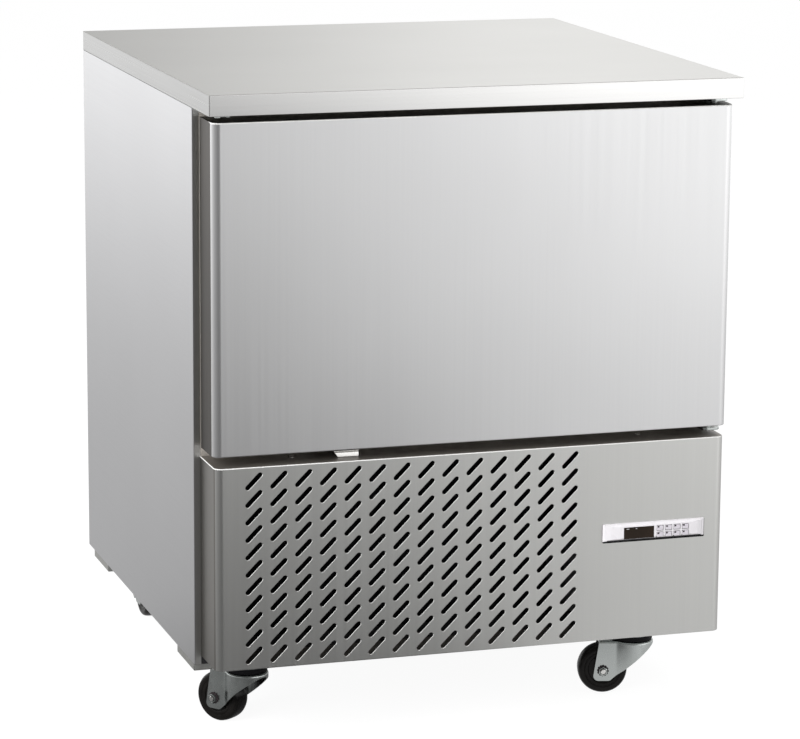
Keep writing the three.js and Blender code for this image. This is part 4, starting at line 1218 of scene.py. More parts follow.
    def catch(self) -> None:
        """Polished catch strip under the door's lower edge, with a slanted left end."""
        low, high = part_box("door_catch")
        t = self.catch_sheet
        lip = low.z + self.catch_lip
        land = high.y - (high.y - low.y) / 3
        side = [
            (high.y, low.z),
            (high.y, high.z),
            (land, high.z),
            (low.y + 12 * t, lip),
            (low.y, lip),
            (low.y, lip - t),
            (low.y + 2 * t, lip - t),
            (low.y + 2 * t, lip - 1.7 * t),
            (low.y + 0.7 * t, lip - 2.2 * t),
            (low.y + 0.2 * t, low.z),
        ]
        strip = Piece.drawn("catch_strip", [(low.x, y, z) for y, z in side])
        strip.raise_outline((high.x - low.x, 0.0, 0.0))
        with strip.editing():
            bpy.ops.mesh.select_all(action="SELECT")
            bpy.ops.mesh.bisect(
                plane_co=(low.x + self.catch_slant, 0.0, low.z),
                plane_no=(-1.0, 0.0, -self.catch_slant / (high.z - low.z)),
                clear_outer=True,
                use_fill=True,
            )
        strip.soften(self.catch_edge)
        strip.dress(Finish.POLISHED)
        strip.seat("cabinet", "zinc_plate", "door_catch")

    def top_stop(self) -> None:
        """Small plated stop under the worktop, over the door's left corner, with two tongues."""
        under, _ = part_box("worktop")
        corner = under + Vector((*self.stop_inset, 0.0))
        width, depth, sheet = self.stop_size
        stop_low = corner - Vector((0.0, 0.0, sheet))
        stop = Piece.block("top_stop", stop_low, corner + Vector((width, depth, 0.0)))
        near, far = self.tongue_span
        for start, end, drop in self.tongues:
            tongue_low = corner + Vector((start, near, -drop))
            stop.with_parts(Piece.block("tongue", tongue_low, corner + Vector((end, far, -MM))))
        stop.soften(self.stop_edge)
        stop.dress(Finish.ZINC)
        stop.seat("cabinet", "hinge_steel")

    def build(self) -> None:
        """Builds every door piece."""
        self.skin()
        self.gasket()
        self.hinge("top_hinge", "upper_hinge", -1.0)
        self.hinge("bottom_hinge", "lower_hinge", 1.0)
        self.catch()
        self.top_stop()


@dataclass
class VentPanel:
    """Lower front panel with its field of slanted slots and two screws on its top return."""

    sheet: float = 1.0 * MM
    bend: float = 12 * MM
    fold: float = 1.4 * MM
    flange: float = 3 * MM
    slot_radius: float = 3.45 * MM
    slot_length: float = 33 * MM
    rim: float = 0.38 * MM
    columns: int = 14
    rows: int = 11
    pitch_x: float = 36.9 * MM
    pitch_z: float = 25.8 * MM
    left_margin: float = 57 * MM
    top_margin: float = 21 * MM
    field_inset: Pair = (20 * MM, 5 * MM)
    case_clearance: float = 0.3 * MM
    screw_x: Pair = (-265 * MM, 269 * MM)
    screw_y: float = -347.5 * MM
    arc_step: int = 30
    rim_zone: float = 0.8 * MM

    def slots(self, face: float, x: float, z: float) -> Piece:
        """Every slot as one tool, with a pressed rim that opens towards the front.

        Args:
            face: The panel's face along Y.
            x: Middle of the first column.
            z: Middle of the first row.

        Returns:
            The tool.
        """
        start = 2 * MM
        radius, reach = self.slot_radius + self.rim, self.slot_length / 2 - self.slot_radius
        slant = math.sqrt(0.5)
        outline = arc((reach, 0.0), radius, -90, 90, self.arc_step)
        outline += arc((-reach, 0.0), radius, 90, 270, self.arc_step)
        points = [(x + (u - v) * slant, face - start, z + (u + v) * slant) for u, v in outline]
        tool = Piece.drawn("slot_tool", points)
        tool.raise_outline(REARWARD * start)
        tool.inset(facing(REARWARD), self.rim, self.rim)
        tool.extrude(facing(REARWARD), REARWARD * 3 * self.sheet)
        tool.tidy()
        across, down = (self.pitch_x, 0.0, 0.0), (0.0, 0.0, -self.pitch_z)
        for count, pitch in ((self.columns, across), (self.rows, down)):
            settings = {"use_relative_offset": False, "use_constant_offset": True}
            tool.modify("ARRAY", count=count, constant_offset_displace=pitch, **settings)
        return tool

    def in_field(self, point: Vector, low: Vector, high: Vector) -> bool:
        """Whether a point of the panel lies in its field of slots.

        Args:
            point: The point.
            low: The panel's lowest corner.
            high: The panel's highest corner.

        Returns:
            Whether it does.
        """
        beside, beyond = self.field_inset
        right = low.x + self.left_margin + self.columns * self.pitch_x
        return low.x + beside < point.x < right and low.z + beyond < point.z < high.z - beyond

    def finishes(self, low: Vector, high: Vector) -> list[tuple[Finish, FaceTest]]:
        """Finishes of the panel: painted shade on its returns, flanges, lower lip and slot walls, and painted
        highlights on its pressed rims and top fold.

        Args:
            low: The panel's lowest corner.
            high: The panel's highest corner.

        Returns:
            Pairs of a finish and its test, the strongest last.
        """

        def on_return(centre: Vector, normal: Vector) -> bool:
            """Whether a face is on a side return."""
            return abs(normal.x) > 0.9 and abs(centre.x) > high.x - self.flange

        def on_top(centre: Vector, normal: Vector) -> bool:
            """Whether a face is on the top flange, above or below."""
            return abs(normal.z) > SQUARE and centre.z > high.z - self.flange

        def on_lip(centre: Vector, normal: Vector) -> bool:
            """Whether a face is the upper side of the lower lip."""
            return normal.z > SQUARE and centre.z < low.z + self.flange

        def in_slot(centre: Vector, normal: Vector) -> bool:
            """Whether a face is in a slot."""
            return abs(normal.y) < SQUARE and self.in_field(centre, low, high)

        def painted_rim_highlight(centre: Vector, normal: Vector) -> bool:
            """Whether a face is a pressed rim's side that faces up and to the left, which gets a painted
            highlight.
            """
            slanted = -SQUARE < normal.y < -0.3 and normal.z - normal.x > 0.4
            return slanted and centre.y < low.y + self.rim_zone and self.in_field(centre, low, high)

        return [
            # Darker copy of the panel steel on the side returns and the slot walls: painted shade.
            (Finish.PANEL_RETURN, on_return),
            # Dark brownish steel on the top flange and the lower lip: painted shade.
            (Finish.LEDGE, on_top),
            (Finish.LEDGE, on_lip),
            (Finish.PANEL_RETURN, in_slot),
            # Pale finish on the rims' upper sides and on the top fold: painted highlights.
            (Finish.BRIGHT_FOLD, painted_rim_highlight),
            (Finish.BRIGHT_FOLD, top_fold(high.z, self.fold)),
        ]

    def panel(self) -> None:
        """Folded panel, slotted at the left and cut out for the controller at the right."""
        low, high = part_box("lower_front_panel")
        shell = Piece.block("vent_panel", low, high)
        shell.open(facing(REARWARD))
        shell.bevel(upright_at(low.y), self.bend, segments=10)
        for z in (low.z, high.z):
            shell.bevel(level_at(z), self.fold)
        shell.wall(self.sheet)
        case_low, case_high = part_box("controller_case")
        gap = border(self.case_clearance)
        cutout = Piece.block("cutout", case_low - gap - REARWARD * 3 * MM, case_high + gap)
        shell.cut(cutout, self.slots(low.y, low.x + self.left_margin, high.z - self.top_margin))
        shell.dress(Finish.VENT_PANEL, *self.finishes(low, high))
        shell.seat("cabinet", "panel_steel", "lower_front_panel")

    def build(self, cabinet: Cabinet) -> None:
        """Builds the panel and its screws.

        Args:
            cabinet: What makes the screws.
        """
        self.panel()
        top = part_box("lower_front_panel")[1].z
        for index, x in enumerate(self.screw_x, start=1):
            cabinet.screw(f"panel_screw_{index}", (x, self.screw_y, top), Axis.Z)


@dataclass
class Controls:
    """White bezel with a near-black layer behind it that shows at its bottom and right as a painted shadow,
    the dark display and eight keys.

    The right nose and the turns are shares: of the left nose, of the end's slope and the crown, and of
    the nose and the crown.
    """

    wall: float = 2.5 * MM
    crown: float = 3.2 * MM
    nose: float = 1.2 * MM
    right_share: float = 0.35
    end_slope: float = 24 * MM
    under_slope: float = 5 * MM
    top_slope: float = 4 * MM
    slope_turn: Pair = (0.45, 0.36)
    nose_turn: Pair = (0.4, 0.7)
    bezel_round: float = 0.9 * MM
    # How far the painted shadow layer shows at the right and below, and its inset, depth and corners.
    shadow_side: float = 1.8 * MM
    shadow_under: float = 2.5 * MM
    shadow_inset: float = 0.4 * MM
    shadow_depth: float = 1.2 * MM
    shadow_corner: float = 1.5 * MM
    clearance: float = 0.3 * MM
    ledge: float = 1 * MM
    glass_round: float = 0.3 * MM
    bars: tuple[Pair, ...] = ((4.0 * MM, 8.2 * MM), (18.5 * MM, 20.5 * MM))
    bar_drop: Pair = (2.9 * MM, 1.7 * MM)
    bar_proud: float = 0.04 * MM
    bar_round: float = 0.1 * MM
    keys: int = 8
    key_flange: float = 0.5 * MM
    key_gap: float = 0.75 * MM
    key_wall: float = 3.6 * MM
    key_corner: float = 0.9 * MM
    key_round: float = 0.55 * MM
    flange_round: float = 0.2 * MM
    dot_size: Triple = (3.0 * MM, 0.2 * MM, 2.4 * MM)
    dot_inset: float = 0.2 * MM
    dot_proud: float = 0.03 * MM
    dot_round: float = 0.08 * MM

    def blank(self, low: Vector, high: Vector) -> Piece:
        """The bezel's solid: a plan and a side outline that trim each other.

        Args:
            low: The bezel's lowest corner.
            high: The bezel's highest corner.

        Returns:
            The solid.
        """
        left, right = low.x, high.x - self.shadow_side
        base, top = low.z + self.shadow_under, high.z
        front, shoulder, nose = low.y, low.y + self.crown, self.nose
        right_nose = self.right_share * nose
        half_slope, half_crown = self.slope_turn[0] * self.end_slope, front + self.slope_turn[1] * self.crown
        plan = [
            (left, high.y),
            (left, shoulder + nose),
            (left + nose, shoulder),
            (left + half_slope, half_crown),
            (left + self.end_slope, front),
            (right - self.end_slope, front),
            (right - half_slope, half_crown),
            (right - right_nose, shoulder),
            (right, shoulder + right_nose),
            (right, high.y),
        ]
        side = [
            (base, high.y),
            (base, shoulder + 2 * nose),
            (base + nose, shoulder + self.nose_turn[0] * nose),
            (base + self.under_slope, front),
            (top - self.top_slope, front),
            (top - nose, front + self.nose_turn[1] * self.crown),
            (top, shoulder + nose),
            (top, high.y),
        ]
        face = Piece.drawn("bezel", [(x, y, base) for x, y in plan]).raise_outline((0.0, 0.0, top - base))
        across = Piece.drawn("across", [(left - MM, y, z) for z, y in side])
        across.raise_outline((right - left + 2 * MM, 0.0, 0.0))
        face.combine("INTERSECT", across)
        return face.soften(self.bezel_round, segments=3, angle_limit=math.radians(5.0))

    def bezel(self) -> None:
        """Bezel with sloped ends, a rebate for the display, a hole for each key and a near-black layer behind
        it that shows at its bottom and right as a painted shadow.
        """
        low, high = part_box("control_bezel")
        face = self.blank(low, high)
        case_low, case_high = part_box("controller_case")
        gap = border(self.clearance)
        hollow_low = Vector((case_low.x, low.y + self.wall, case_low.z)) - gap
        face.cut(Piece.block("hollow", hollow_low, case_high + gap))
        glass_low, glass_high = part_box("display_window")
        front = REARWARD * -2 * MM
        rebate = Piece.block("rebate", glass_low - gap + front, glass_high + gap)
        ledge = border(self.ledge) - gap
        window = Piece.block("window", glass_low + ledge + front, glass_high - ledge + REARWARD * 8 * MM)
        face.cut(rebate, window)
        flange = border(self.key_flange)
        for number in range(1, self.keys + 1):
            key_low, key_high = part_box(f"key_{number}")
            face.cut(Piece.block("hole", key_low + flange - REARWARD * MM, key_high - flange))
        # The near-black layer behind the bezel, uncovered at the bottom and the right: a painted shadow.
        seal_low = (low.x + self.shadow_inset, high.y - self.shadow_depth, low.z)
        shadow_layer = Piece.block("shadow_layer", seal_low, (high.x, high.y, high.z - self.shadow_inset))
        shadow_layer.cut(Piece.block("opening", case_low - gap - REARWARD * 5 * MM, case_high + gap))
        opening = case_low.x
        shadow_layer.bevel(lambda a, b: along_y(a, b) and abs(a.x - opening) > 2 * MM, self.shadow_corner, segments=4)
        face.dress(Finish.BEZEL).with_parts(shadow_layer.dress(Finish.SEAL))
        face.seat("cabinet", "white_plastic", "control_bezel", angle=40.0)

    def display(self) -> None:
        """Dark window with two small unlit indicator bars on its surface."""
        low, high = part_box("display_window")
        glass = Piece.block("display", low, high).soften(self.glass_round, segments=3)
        glass.dress(Finish.DISPLAY)
        bottom, top = (high.z - drop for drop in self.bar_drop)
        proud, sunk = low.y - self.bar_proud, low.y + self.bar_round
        for start, end in self.bars:
            bar = Piece.block("bar", (low.x + start, proud, bottom), (low.x + end, sunk, top))
            glass.with_parts(bar.soften(self.bar_round).dress(Finish.PALE_MARK))
        glass.seat("cabinet", "display_glass", "display_window")

    def key(self, number: int) -> None:
        """Key cap with soft edges, its flange behind the bezel, near-black as painted shade in the gap, and a
        small printed corner dot.

        Args:
            number: The key's number.
        """
        low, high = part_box(f"key_{number}")
        inset = self.key_flange + self.key_gap
        cap = Piece.block(f"key_cap_{number}", low + border(inset), high - border(inset))
        cap.bevel(along_y, self.key_corner, segments=4)
        cap.bevel(lambda a, b: max(a.y, b.y) < low.y + 0.01 * MM, self.key_round, segments=4)
        flange = Piece.block("flange", (low.x, low.y + self.key_wall, low.z), high)
        flange.soften(self.flange_round)
        side = inset + self.dot_inset
        corner = Vector((low.x + side, low.y - self.dot_proud, high.z - side - self.dot_size[2]))
        dot = Piece.block("dot", corner, corner + Vector(self.dot_size)).soften(self.dot_round)
        cap.dress(Finish.KEY)
        cap.with_parts(flange.dress(Finish.MARK), dot.dress(Finish.MARK))
        cap.seat(f"key_{number}", "key_plastic", f"key_{number}")

    def build(self) -> None:
        """Builds the bezel, the display and every key."""
        self.bezel()
        self.display()
        for number in range(1, self.keys + 1):
            self.key(number)


@dataclass
class Caster:
    """Swivel caster: plate with its raceway, pressed fork with its axle, and wheel.

    It is modelled once about its kingpin, with the wheel on the +X side, and copied. The fork's neck,
    its toe and the turned outlines are in millimetres.
    """

    trail: float = 46 * MM
    axle_height: float = 38 * MM
    fork_top: float = 84.4 * MM
    fork_sheet: float = 3 * MM
    fork_radius: float = 32 * MM
    fork_front: float = 62 * MM
    shoulder: float = 3.6 * MM
    kingpin_bore: float = 6.3 * MM
    leg: float = 21.3 * MM
    neck: tuple[Pair, ...] = ((27.5, 21.3), (25.3, 21.5), (23.6, 22.2))
    neck_angle: int = 48
    neck_step: int = 12
    nose_step: int = 15
    edge_rear: float = 80.5 * MM
    edge_bend: Pair = (-8.5 * MM, 60.5 * MM)
    edge_steps: int = 8
    toe: tuple[Pair, ...] = ((32.5, 2.6), (34.7, 0.8), (37.5, 0.0))
    nose_reach: float = 14.5 * MM
    nose_depth: float = 16.5 * MM
    nose_radius: float = 8 * MM
    nose_back: float = 6 * MM
    rod_radius: float = 4 * MM
    rod_end: float = 28.8 * MM
    washer_radii: Pair = (9 * MM, 8 * MM)
    washer_teeth: int = 12
    washer_sheet: float = 1.3 * MM
    nut_radius: float = 7.2 * MM
    nut_height: float = 5.2 * MM
    nut_round: float = 0.9 * MM
    nut_dish: float = 0.9 * MM
    plate_top: float = 104.7 * MM
    plate_thickness: float = 3 * MM
    plate_x: float = 100 * MM
    plate_y: float = 84 * MM
    plate_corner: float = 9 * MM
    plate_edge: float = 0.5 * MM
    bolt_x: float = 39 * MM
    bolt_y: float = 31 * MM
    bolt_radius: float = 6.4 * MM
    bolt_height: float = 3.6 * MM
    bolt_round: float = 0.6 * MM
    shade_drop: float = 8 * MM
    shade_inner: float = 15 * MM
    kingpin_drop: float = 4.3 * MM
    raceway: tuple[Pair, ...] = (
        (6.5, 0.0),
        (27.5, 0.0),
        (28.5, -5.5),
        (30.6, -7.5),
        (30.6, -8.2),
        (30.3, -15.6),
        (29.0, -16.9),
        (6.5, -16.9),
        (6.5, 0.0),
    )
    kingpin: tuple[Pair, ...] = (
        (0.0, -4.0),
        (7.5, -4.0),
        (9.6, -2.6),
        (10.0, 0.0),
        (6.0, 0.0),
        (6.0, 8.0),
        (0.0, 8.0),
    )
    half_wheel: tuple[Pair, ...] = (
        (4.3, 17.9),
        (9.4, 17.9),
        (10.5, 17.0),
        (10.9, 14.8),
        (12.5, 13.6),
        (19.5, 13.0),
        (21.4, 13.4),
        (22.3, 14.8),
        (23.6, 15.3),
        (26.2, 15.4),
        (26.9, 14.8),
        (27.7, 14.8),
        (28.4, 15.6),
        (31.0, 16.0),
        (33.6, 15.6),
        (35.7, 14.1),
        (37.2, 11.2),
        (37.85, 7.0),
        (38.0, 3.0),
    )

    def fork(self) -> Piece:
        """Pressed fork with a round shoulder, two legs and the axle bolt.

        Returns:
            The fork.
        """
        half = [(self.fork_front, self.leg)] + [(x * MM, y * MM) for x, y in self.neck]
        half += arc((0.0, 0.0), self.fork_radius, self.neck_angle, 180, self.neck_step)
        plan = half + [(x, -y) for x, y in reversed(half[:-1])]
        bottom = self.axle_height - self.nose_depth - MM
        fork = Piece.drawn("fork", [(x, y, bottom) for x, y in plan])
        fork.raise_outline((0.0, 0.0, self.fork_top - bottom))
        mouth = self.fork_front - MM
        fork.open(lambda centre, normal: normal.z < -0.9 or (normal.x > 0.99 and centre.x > mouth))
        at_top = level_at(self.fork_top)
        fork.bevel(lambda a, b: at_top(a, b) and min(a.x, b.x) <= mouth, self.shoulder, segments=5)
        fork.wall(self.fork_sheet)
        fork.combine("INTERSECT", self.leg_shape())
        fork.cut(Piece.prism("bore", (0.0, 0.0, self.fork_top), self.kingpin_bore, 20 * MM, Axis.Z))
        return fork.dress(Finish.ZINC).with_parts(*self.axle())

    def leg_shape(self) -> Piece:
        """Side outline that trims the fork: a slanted lower edge and a round nose.

        Returns:
            The outline, raised across the fork.
        """
        lowest = self.axle_height - self.nose_depth
        rear, above = -self.fork_radius - MM, self.fork_top + MM
        toe = [(x * MM, lowest + z * MM) for x, z in self.toe]
        start, bend, end = Vector((rear, self.edge_rear)), Vector(self.edge_bend), Vector(toe[0])
        points = [(rear, above)]
        for step in range(self.edge_steps + 1):
            t = step / self.edge_steps
            points.append(tuple(start * (1 - t) ** 2 + bend * 2 * t * (1 - t) + end * t * t))
        nose = (self.trail + self.nose_reach - self.nose_radius, lowest + self.nose_radius)
        points += toe[1:] + arc(nose, self.nose_radius, 270, 360, self.nose_step)
        points.append((self.trail + self.nose_back, above))
        half_width = 50 * MM
        shape = Piece.drawn("leg_shape", [(x, -half_width, z) for x, z in points])
        return shape.raise_outline(REARWARD * 2 * half_width)

    def washer(self, side: float) -> Piece:
        """Toothed washer on a leg's outer face, near-black as painted shade round the nut.

        Args:
            side: -1 for the leg at the lower Y, and 1 for the other.

        Returns:
            The washer.
        """
        points = []
        for step in range(4 * self.washer_teeth):
            angle = math.tau * step / (4 * self.washer_teeth)
            radius = self.washer_radii[step % 4 // 2]
            x, z = self.trail + radius * math.cos(angle), self.axle_height + radius * math.sin(angle)
            points.append((x, side * self.leg, z))
        washer = Piece.drawn("toothed_washer", points).raise_outline(REARWARD * side * self.washer_sheet)
        return washer.dress(Finish.MARK)

    def nut(self, side: float) -> Piece:
        """Hexagon nut with a rounded, sunken end, on a leg's washer.

        Args:
            side: -1 for the leg at the lower Y, and 1 for the other.

        Returns:
            The nut.
        """
        inner = self.leg + self.washer_sheet
        outer = inner + self.nut_height
        middle = (self.trail, side * (inner + outer) / 2, self.axle_height)
        nut = Piece.prism("nut", middle, self.nut_radius, self.nut_height, Axis.Y, sides=6)
        nut.bevel(lambda a, b: min(side * a.y, side * b.y) > outer - SLACK, self.nut_round, segments=2)

        def end_face(centre: Vector, normal: Vector) -> bool:
            """Whether a face is the nut's outer end."""
            return side * normal.y > SQUARE and side * centre.y > outer - MM

        nut.inset(end_face, MM, -self.nut_dish)
        # The sunken end and the face on the washer are near-black: painted shade.
        sunken = outer - 0.7 * MM
        dish_shade = (Finish.SEAL, lambda centre, normal: abs(centre.y) < sunken and abs(normal.y) > 0.9)
        return nut.dress(Finish.ZINC, dish_shade)

    def axle(self) -> list[Piece]:
        """Axle bolt with domed ends, and a washer and a nut at each side.

        Returns:
            The bolt, the washers and the nuts.
        """
        r, end = self.rod_radius, self.rod_end
        rod = [(0.0, -end), (0.75 * r, -end), (r, -end + MM)]
        rod += [(radius, -height) for radius, height in reversed(rod)]
        rod_piece = Piece.turned("axle", rod, (self.trail, 0.0, self.axle_height), Axis.Y, steps=24)
        parts = [rod_piece.dress(Finish.POLISHED)]
        for side in (-1.0, 1.0):
            parts += [self.washer(side), self.nut(side)]
        return parts

    def wheel(self) -> Piece:
        """Wheel with a rounded tread, a raised rim, a dished web and a hub.

        Returns:
            The wheel.
        """
        points = [(radius * MM, -height * MM) for radius, height in self.half_wheel]
        points += [(radius, -height) for radius, height in reversed(points)]
        place = (self.trail, 0.0, self.axle_height)
        return Piece.turned("wheel", [*points, points[0]], place, Axis.Y, steps=72).dress(Finish.WHEEL)

    def about_kingpin(self, name: str, outline: Sequence[Pair], base: float, steps: int) -> Piece:
        """A body turned about the kingpin.

        Args:
            name: The piece's name.
            outline: Radius and height of its points, in millimetres.
            base: Where its outline's height starts.
            steps: Steps of a full turn.

        Returns:
            The body.
        """
        profile = [(radius * MM, base + height * MM) for radius, height in outline]
        return Piece.turned(name, profile, (0.0, 0.0, 0.0), Axis.Z, steps)

    def plate(self) -> Piece:
        """Top plate with rounded corners, raceway, kingpin head and four bolt heads, and painted shade on the
        raceway's lower part.

        Returns:
            The plate.
        """
        top, under = self.plate_top, self.plate_top - self.plate_thickness
        low = (-self.plate_x / 2, -self.plate_y / 2, under)
        plate = Piece.block("plate", low, (self.plate_x / 2, self.plate_y / 2, top))
        plate.bevel(upright, self.plate_corner, segments=6)
        plate.soften(self.plate_edge)
        raceway = self.about_kingpin("raceway", self.raceway, under, 48)
        kingpin = self.about_kingpin("kingpin", self.kingpin, self.fork_top - self.kingpin_drop, 32)
        bolts = []
        for x in (-self.bolt_x, self.bolt_x):
            for y in (-self.bolt_y, self.bolt_y):
                middle = (x, y, under - self.bolt_height / 2)
                bolt = Piece.prism("bolt", middle, self.bolt_radius, self.bolt_height, Axis.Z, sides=6)
                bolts.append(bolt.bevel(level_at(under - self.bolt_height), self.bolt_round, segments=2))
        shade_top = under - self.shade_drop

        def on_painted_shade(centre: Vector, normal: Vector) -> bool:
            """Whether a face is on the raceway's lower part, which gets painted shade."""
            return centre.z < shade_top and math.hypot(centre.x, centre.y) > self.shade_inner

        return plate.with_parts(raceway, kingpin, *bolts).dress(Finish.ZINC, (Finish.SEAL, on_painted_shade))

    def build(self) -> None:
        """Copies the caster to its four places, each turned as its wheel's place says."""
        fork, wheel, plate = self.fork(), self.wheel(), self.plate()
        for corner in ("front_left", "front_right", "rear_left", "rear_right"):
            plate_low, plate_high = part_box(f"{corner}_caster_plate")
            wheel_low, wheel_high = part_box(f"{corner}_caster_wheel")
            kingpin = (plate_low + plate_high) / 2
            reach = (wheel_low + wheel_high) / 2 - kingpin
            place = (kingpin.x, kingpin.y, 0.0)
            turn = math.atan2(reach.y, reach.x)
            plates = plate.copy(f"{corner}_plate").move(place)
            plates.seat("cabinet", "zinc_plate", f"{corner}_caster_plate")
            forks = fork.copy(f"{corner}_fork_leg").move(place, turn)
            forks.seat(f"{corner}_fork", "zinc_plate", f"{corner}_caster_fork")
            wheels = wheel.copy(f"{corner}_tyre").move(place, turn)
            wheels.seat(f"{corner}_wheel", "wheel_black", f"{corner}_caster_wheel")
        for pattern in (fork, wheel, plate):
            bpy.data.objects.remove(pattern.thing)


@dataclass
class Carried:
    """The nodes that keep their own shape, by their finish."""

    finishes: ClassVar[dict[Finish, tuple[str, ...]]] = {
        Finish.GALVANISED: ("rear_panel", "rear_grille", "machine_deck", "electrical_box"),
        # The front frame gets the darker brownish steel: painted shade in the gaps round the door.
        Finish.RECESS: ("front_frame",),
        Finish.LINER: ("inner_liner", "fan_baffle", "door_liner"),
        Finish.WIRE: ("rack_left", "rack_right", "core_probe"),
        Finish.FOAM: ("insulation", "door_foam"),
        Finish.FINS: ("evaporator_coil",),
        # The condenser's fins are near-black: painted shade behind the slots.
        Finish.BLACK_FINS: ("condenser_coil",),
        Finish.FAN_METAL: ("condenser_fan",),
        Finish.COPPER: ("discharge_line",),
        Finish.BLACK_PAINT: (
            # The base pan is near-black: painted shade behind the lower slots.
            "base_pan",
            "condenser_shroud",
            "compressor",
            "evaporator_fan_motor",
            "condenser_fan_motor",
        ),
        Finish.BLACK_PLASTIC: ("evaporator_fan", "controller_case", "condensate_tray", "cord_gland"),
        Finish.WHITE_CLIP: ("probe_clip",),
    }

    def build(self) -> None:
        """Gives each node its finish."""
        for finish, names in self.finishes.items():
            for name in names:
                slots = frame["nodes"][name].data.materials
                slots.clear()
                slots.append(finish.material())
                LOG.info("%s keeps its shape", name)


@dataclass(frozen=True)
class Lamp:
    """A soft rectangular lamp, in metres and watts, and whether metal shows it."""

    name: str
    place: Triple
    aim: Triple
    size: Pair
    watts: float
    mirrored: bool = True

    def build(self) -> None:
        """Hangs the lamp, out of the camera's sight."""
        data = bpy.data.lights.new(self.name, "AREA")
        data.shape = "RECTANGLE"
        data.size, data.size_y = self.size
        data.energy = self.watts
        lamp = bpy.data.objects.new(self.name, data)
        lamp.visible_camera = False
        lamp.visible_glossy = self.mirrored
        lamp.location = self.place
        lamp.rotation_mode = "QUATERNION"
        lamp.rotation_quaternion = (Vector(self.aim) - Vector(self.place)).to_track_quat("-Z", "Y")
        bpy.context.scene.collection.objects.link(lamp)


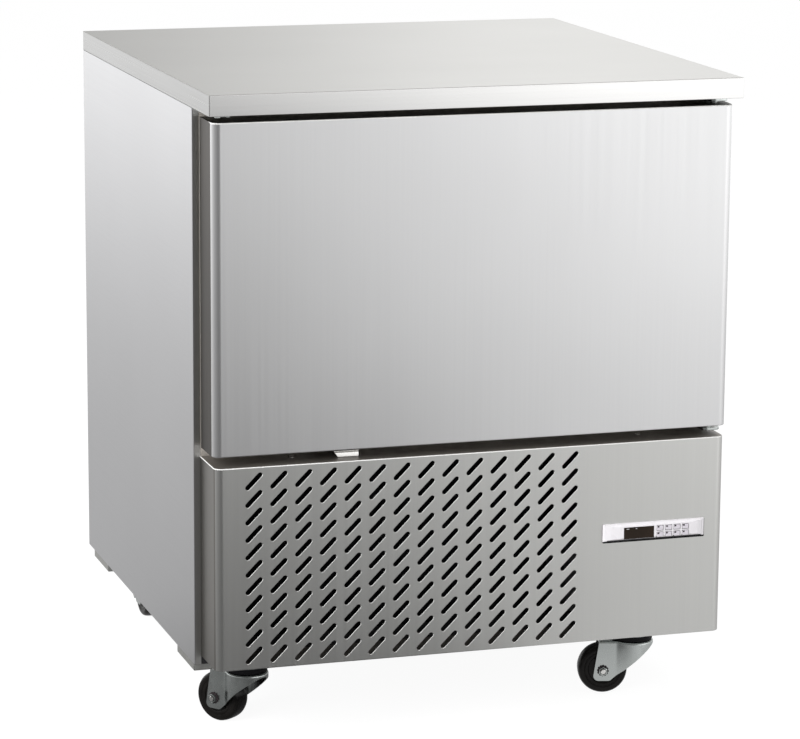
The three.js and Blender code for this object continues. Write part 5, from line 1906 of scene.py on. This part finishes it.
@dataclass
class Studio:
    """Camera, pale floor, soft lamps and world.

    The room's pairs are a direction round the chiller, in degrees, and the brightness that its sheets
    mirror there. Each gain's row is an axis, where the gain starts and ends on it, and the end's level.
    """

    position: Triple = (-1.58015, -5.04667, 1.59588)
    azimuth: float = 0.30485
    elevation: float = -0.20948
    roll: float = 0.00682
    focal_pixels: float = 3477.2
    picture_width: float = 800.0
    sensor: float = 36.0
    sight: float = 200.0
    floor_size: float = 80.0
    floor_mottle: float = 1.5
    floor_greys: Pair = (0.6, 0.63)
    floor_roughness: float = 0.9
    floor_share: float = 0.82
    mirrored_share: float = 0.95
    floor_white: float = 1.15
    floor_reach: Pair = (0.5, 10.0)
    floor_tones: Pair = (0.5, 1.66)
    level: float = 0.46
    gains: tuple[tuple[str, Pair, float], ...] = (("Y", (0.2, -0.6), 1.35), ("Z", (0.55, 0.85), 0.25))
    lamps: tuple[Lamp, ...] = (
        Lamp("key", (-3.6, -2.7, 2.3), (0.0, -0.3, 0.5), (2.6, 2.6), watts=290.0, mirrored=False),
        Lamp("overhead", (0.0, 0.0, 3.4), (0.0, 0.0, 0.5), (2.6, 2.6), watts=60.0, mirrored=False),
        Lamp("right", (3.0, -1.0, 2.2), (0.4, 0.0, 0.7), (1.8, 1.8), watts=14.0),
    )
    room: tuple[Pair, ...] = (
        (-90.0, 0.7),
        (-75.0, 0.55),
        (-55.0, 0.38),
        (-25.0, 0.24),
        (-15.0, 0.19),
        (-5.0, 0.25),
        (3.0, 0.36),
        (9.5, 0.52),
        (14.5, 0.98),
        (20.0, 1.38),
        (27.0, 1.55),
        (45.0, 1.55),
        (70.0, 1.3),
        (100.0, 1.1),
        (150.0, 0.95),
        (161.0, 1.2),
        (166.0, 0.72),
        (172.0, 0.28),
        (180.0, 0.42),
        (189.0, 0.7),
        (198.0, 1.12),
        (208.0, 1.3),
        (222.0, 1.25),
        (250.0, 1.05),
        (269.0, 0.72),
    )

    def camera(self) -> None:
        """Camera at the photograph's angle."""
        data = bpy.data.cameras.new("camera")
        data.sensor_width = self.sensor
        data.lens = self.focal_pixels / self.picture_width * self.sensor
        data.clip_end = self.sight
        camera = bpy.data.objects.new("camera", data)
        bpy.context.scene.collection.objects.link(camera)
        az, el = self.azimuth, self.elevation
        forward = Vector((math.sin(az) * math.cos(el), math.cos(az) * math.cos(el), math.sin(el)))
        right = Vector((math.cos(az), -math.sin(az), 0.0))
        up = right.cross(forward)
        c, s = math.cos(self.roll), math.sin(self.roll)
        turn = Matrix((c * right + s * up, c * up - s * right, -forward)).transposed()
        camera.matrix_world = Matrix.Translation(self.position) @ turn.to_4x4()
        bpy.context.scene.camera = camera

    def surroundings(self, wiring: Wiring, place: Socket) -> Socket:
        """Brightness of the room round the chiller.

        Args:
            wiring: The node tree that it goes into.
            place: A direction or a place round the chiller.

        Returns:
            The brightness.
        """
        around = wiring.add("ShaderNodeTexGradient", {"Vector": place}, gradient_type="RADIAL").outputs["Fac"]
        ramp = wiring.add("ShaderNodeValToRGB", {"Fac": around})
        ramp.color_ramp.interpolation = "EASE"
        elements = ramp.color_ramp.elements
        elements.remove(elements[-1])
        for index, (degrees, level) in enumerate(self.room):
            position = 0.25 + degrees / 360.0
            element = elements[0] if index == 0 else elements.new(position)
            element.position = position
            element.color = (level, level, level, 1.0)
        return ramp.outputs[0]

    def floor(self) -> None:
        """Plain pale floor, white to the eye with soft shadows, and darker near the chiller in its sheets."""
        bpy.ops.object.select_all(action="DESELECT")
        bpy.ops.mesh.primitive_plane_add(size=self.floor_size)
        floor = bpy.context.active_object
        floor.name = "floor"
        sheet = NodeSheet("pale_floor")
        mottle = sheet.noise((self.floor_mottle,) * 3, detail=2.0)
        sheet.colour(mottle, *((grey,) * 3 for grey in self.floor_greys))
        sheet.fix(Roughness=self.floor_roughness, Specular_IOR_Level=0.0)
        seen = sheet.add("ShaderNodeLightPath").outputs
        glossy = seen["Is Glossy Ray"]
        plain = sheet.math("ADD", seen["Is Camera Ray"], seen["Is Transmission Ray"])
        mirrored = sheet.math("MULTIPLY", glossy, self.mirrored_share)
        share = sheet.math("MULTIPLY_ADD", plain, self.floor_share, mirrored)
        away = sheet.add("ShaderNodeVectorMath", {0: sheet.place}, operation="LENGTH").outputs["Value"]
        tone = sheet.spread(away, self.floor_reach, self.floor_tones, interpolation_type="SMOOTHSTEP")
        tone = sheet.math("MULTIPLY", tone, self.surroundings(sheet, sheet.place))
        strength = sheet.math("MULTIPLY_ADD", glossy, tone, sheet.math("MULTIPLY", plain, self.floor_white))
        glow = sheet.add("ShaderNodeEmission", {"Color": (1.0,) * 4, "Strength": strength})
        mix = sheet.add("ShaderNodeMixShader", {0: share, 1: sheet.shader.outputs[0], 2: glow.outputs[0]})
        sheet.feed(sheet.tree.nodes["Material Output"].inputs["Surface"], mix.outputs[0])
        floor.data.materials.append(sheet.material)

    def world(self) -> None:
        """Pale surroundings: white to the eye, graded in the sheets and even for soft light."""
        world = bpy.data.worlds.new("surroundings")
        bpy.context.scene.world = world
        world.use_nodes = True
        wiring = Wiring(world.node_tree)
        seen = wiring.add("ShaderNodeLightPath").outputs
        place = wiring.add("ShaderNodeTexCoord").outputs["Generated"]
        split = wiring.add("ShaderNodeSeparateXYZ", {0: place}).outputs
        graded = self.surroundings(wiring, place)
        for axis, span, level in self.gains:
            graded = wiring.math("MULTIPLY", graded, wiring.spread(split[axis], span, (1.0, level)))
        strength = self.level
        for ray, level in (("Camera", 1.0), ("Transmission", 1.0), ("Glossy", graded)):
            inputs = {0: seen[f"Is {ray} Ray"], 2: strength, 3: level}
            strength = wiring.add("ShaderNodeMix", inputs).outputs[0]
        background = wiring.tree.nodes["Background"].inputs
        wiring.feed(background["Color"], (1.0,) * 4)
        wiring.feed(background["Strength"], strength)

    def build(self) -> None:
        """Sets up the view transform, camera, floor, world and lamps."""
        bpy.context.scene.view_settings.view_transform = "Standard"
        self.camera()
        self.floor()
        self.world()
        for lamp in self.lamps:
            lamp.build()


def main() -> None:
    """Builds the chiller and the studio."""
    logging.basicConfig(level=logging.INFO, format="%(name)s: %(message)s")
    Studio().build()
    cabinet = Cabinet()
    cabinet.build()
    Door().build()
    VentPanel().build(cabinet)
    Controls().build()
    Caster().build()
    Carried().build()


if __name__ == "__main__":
    main()
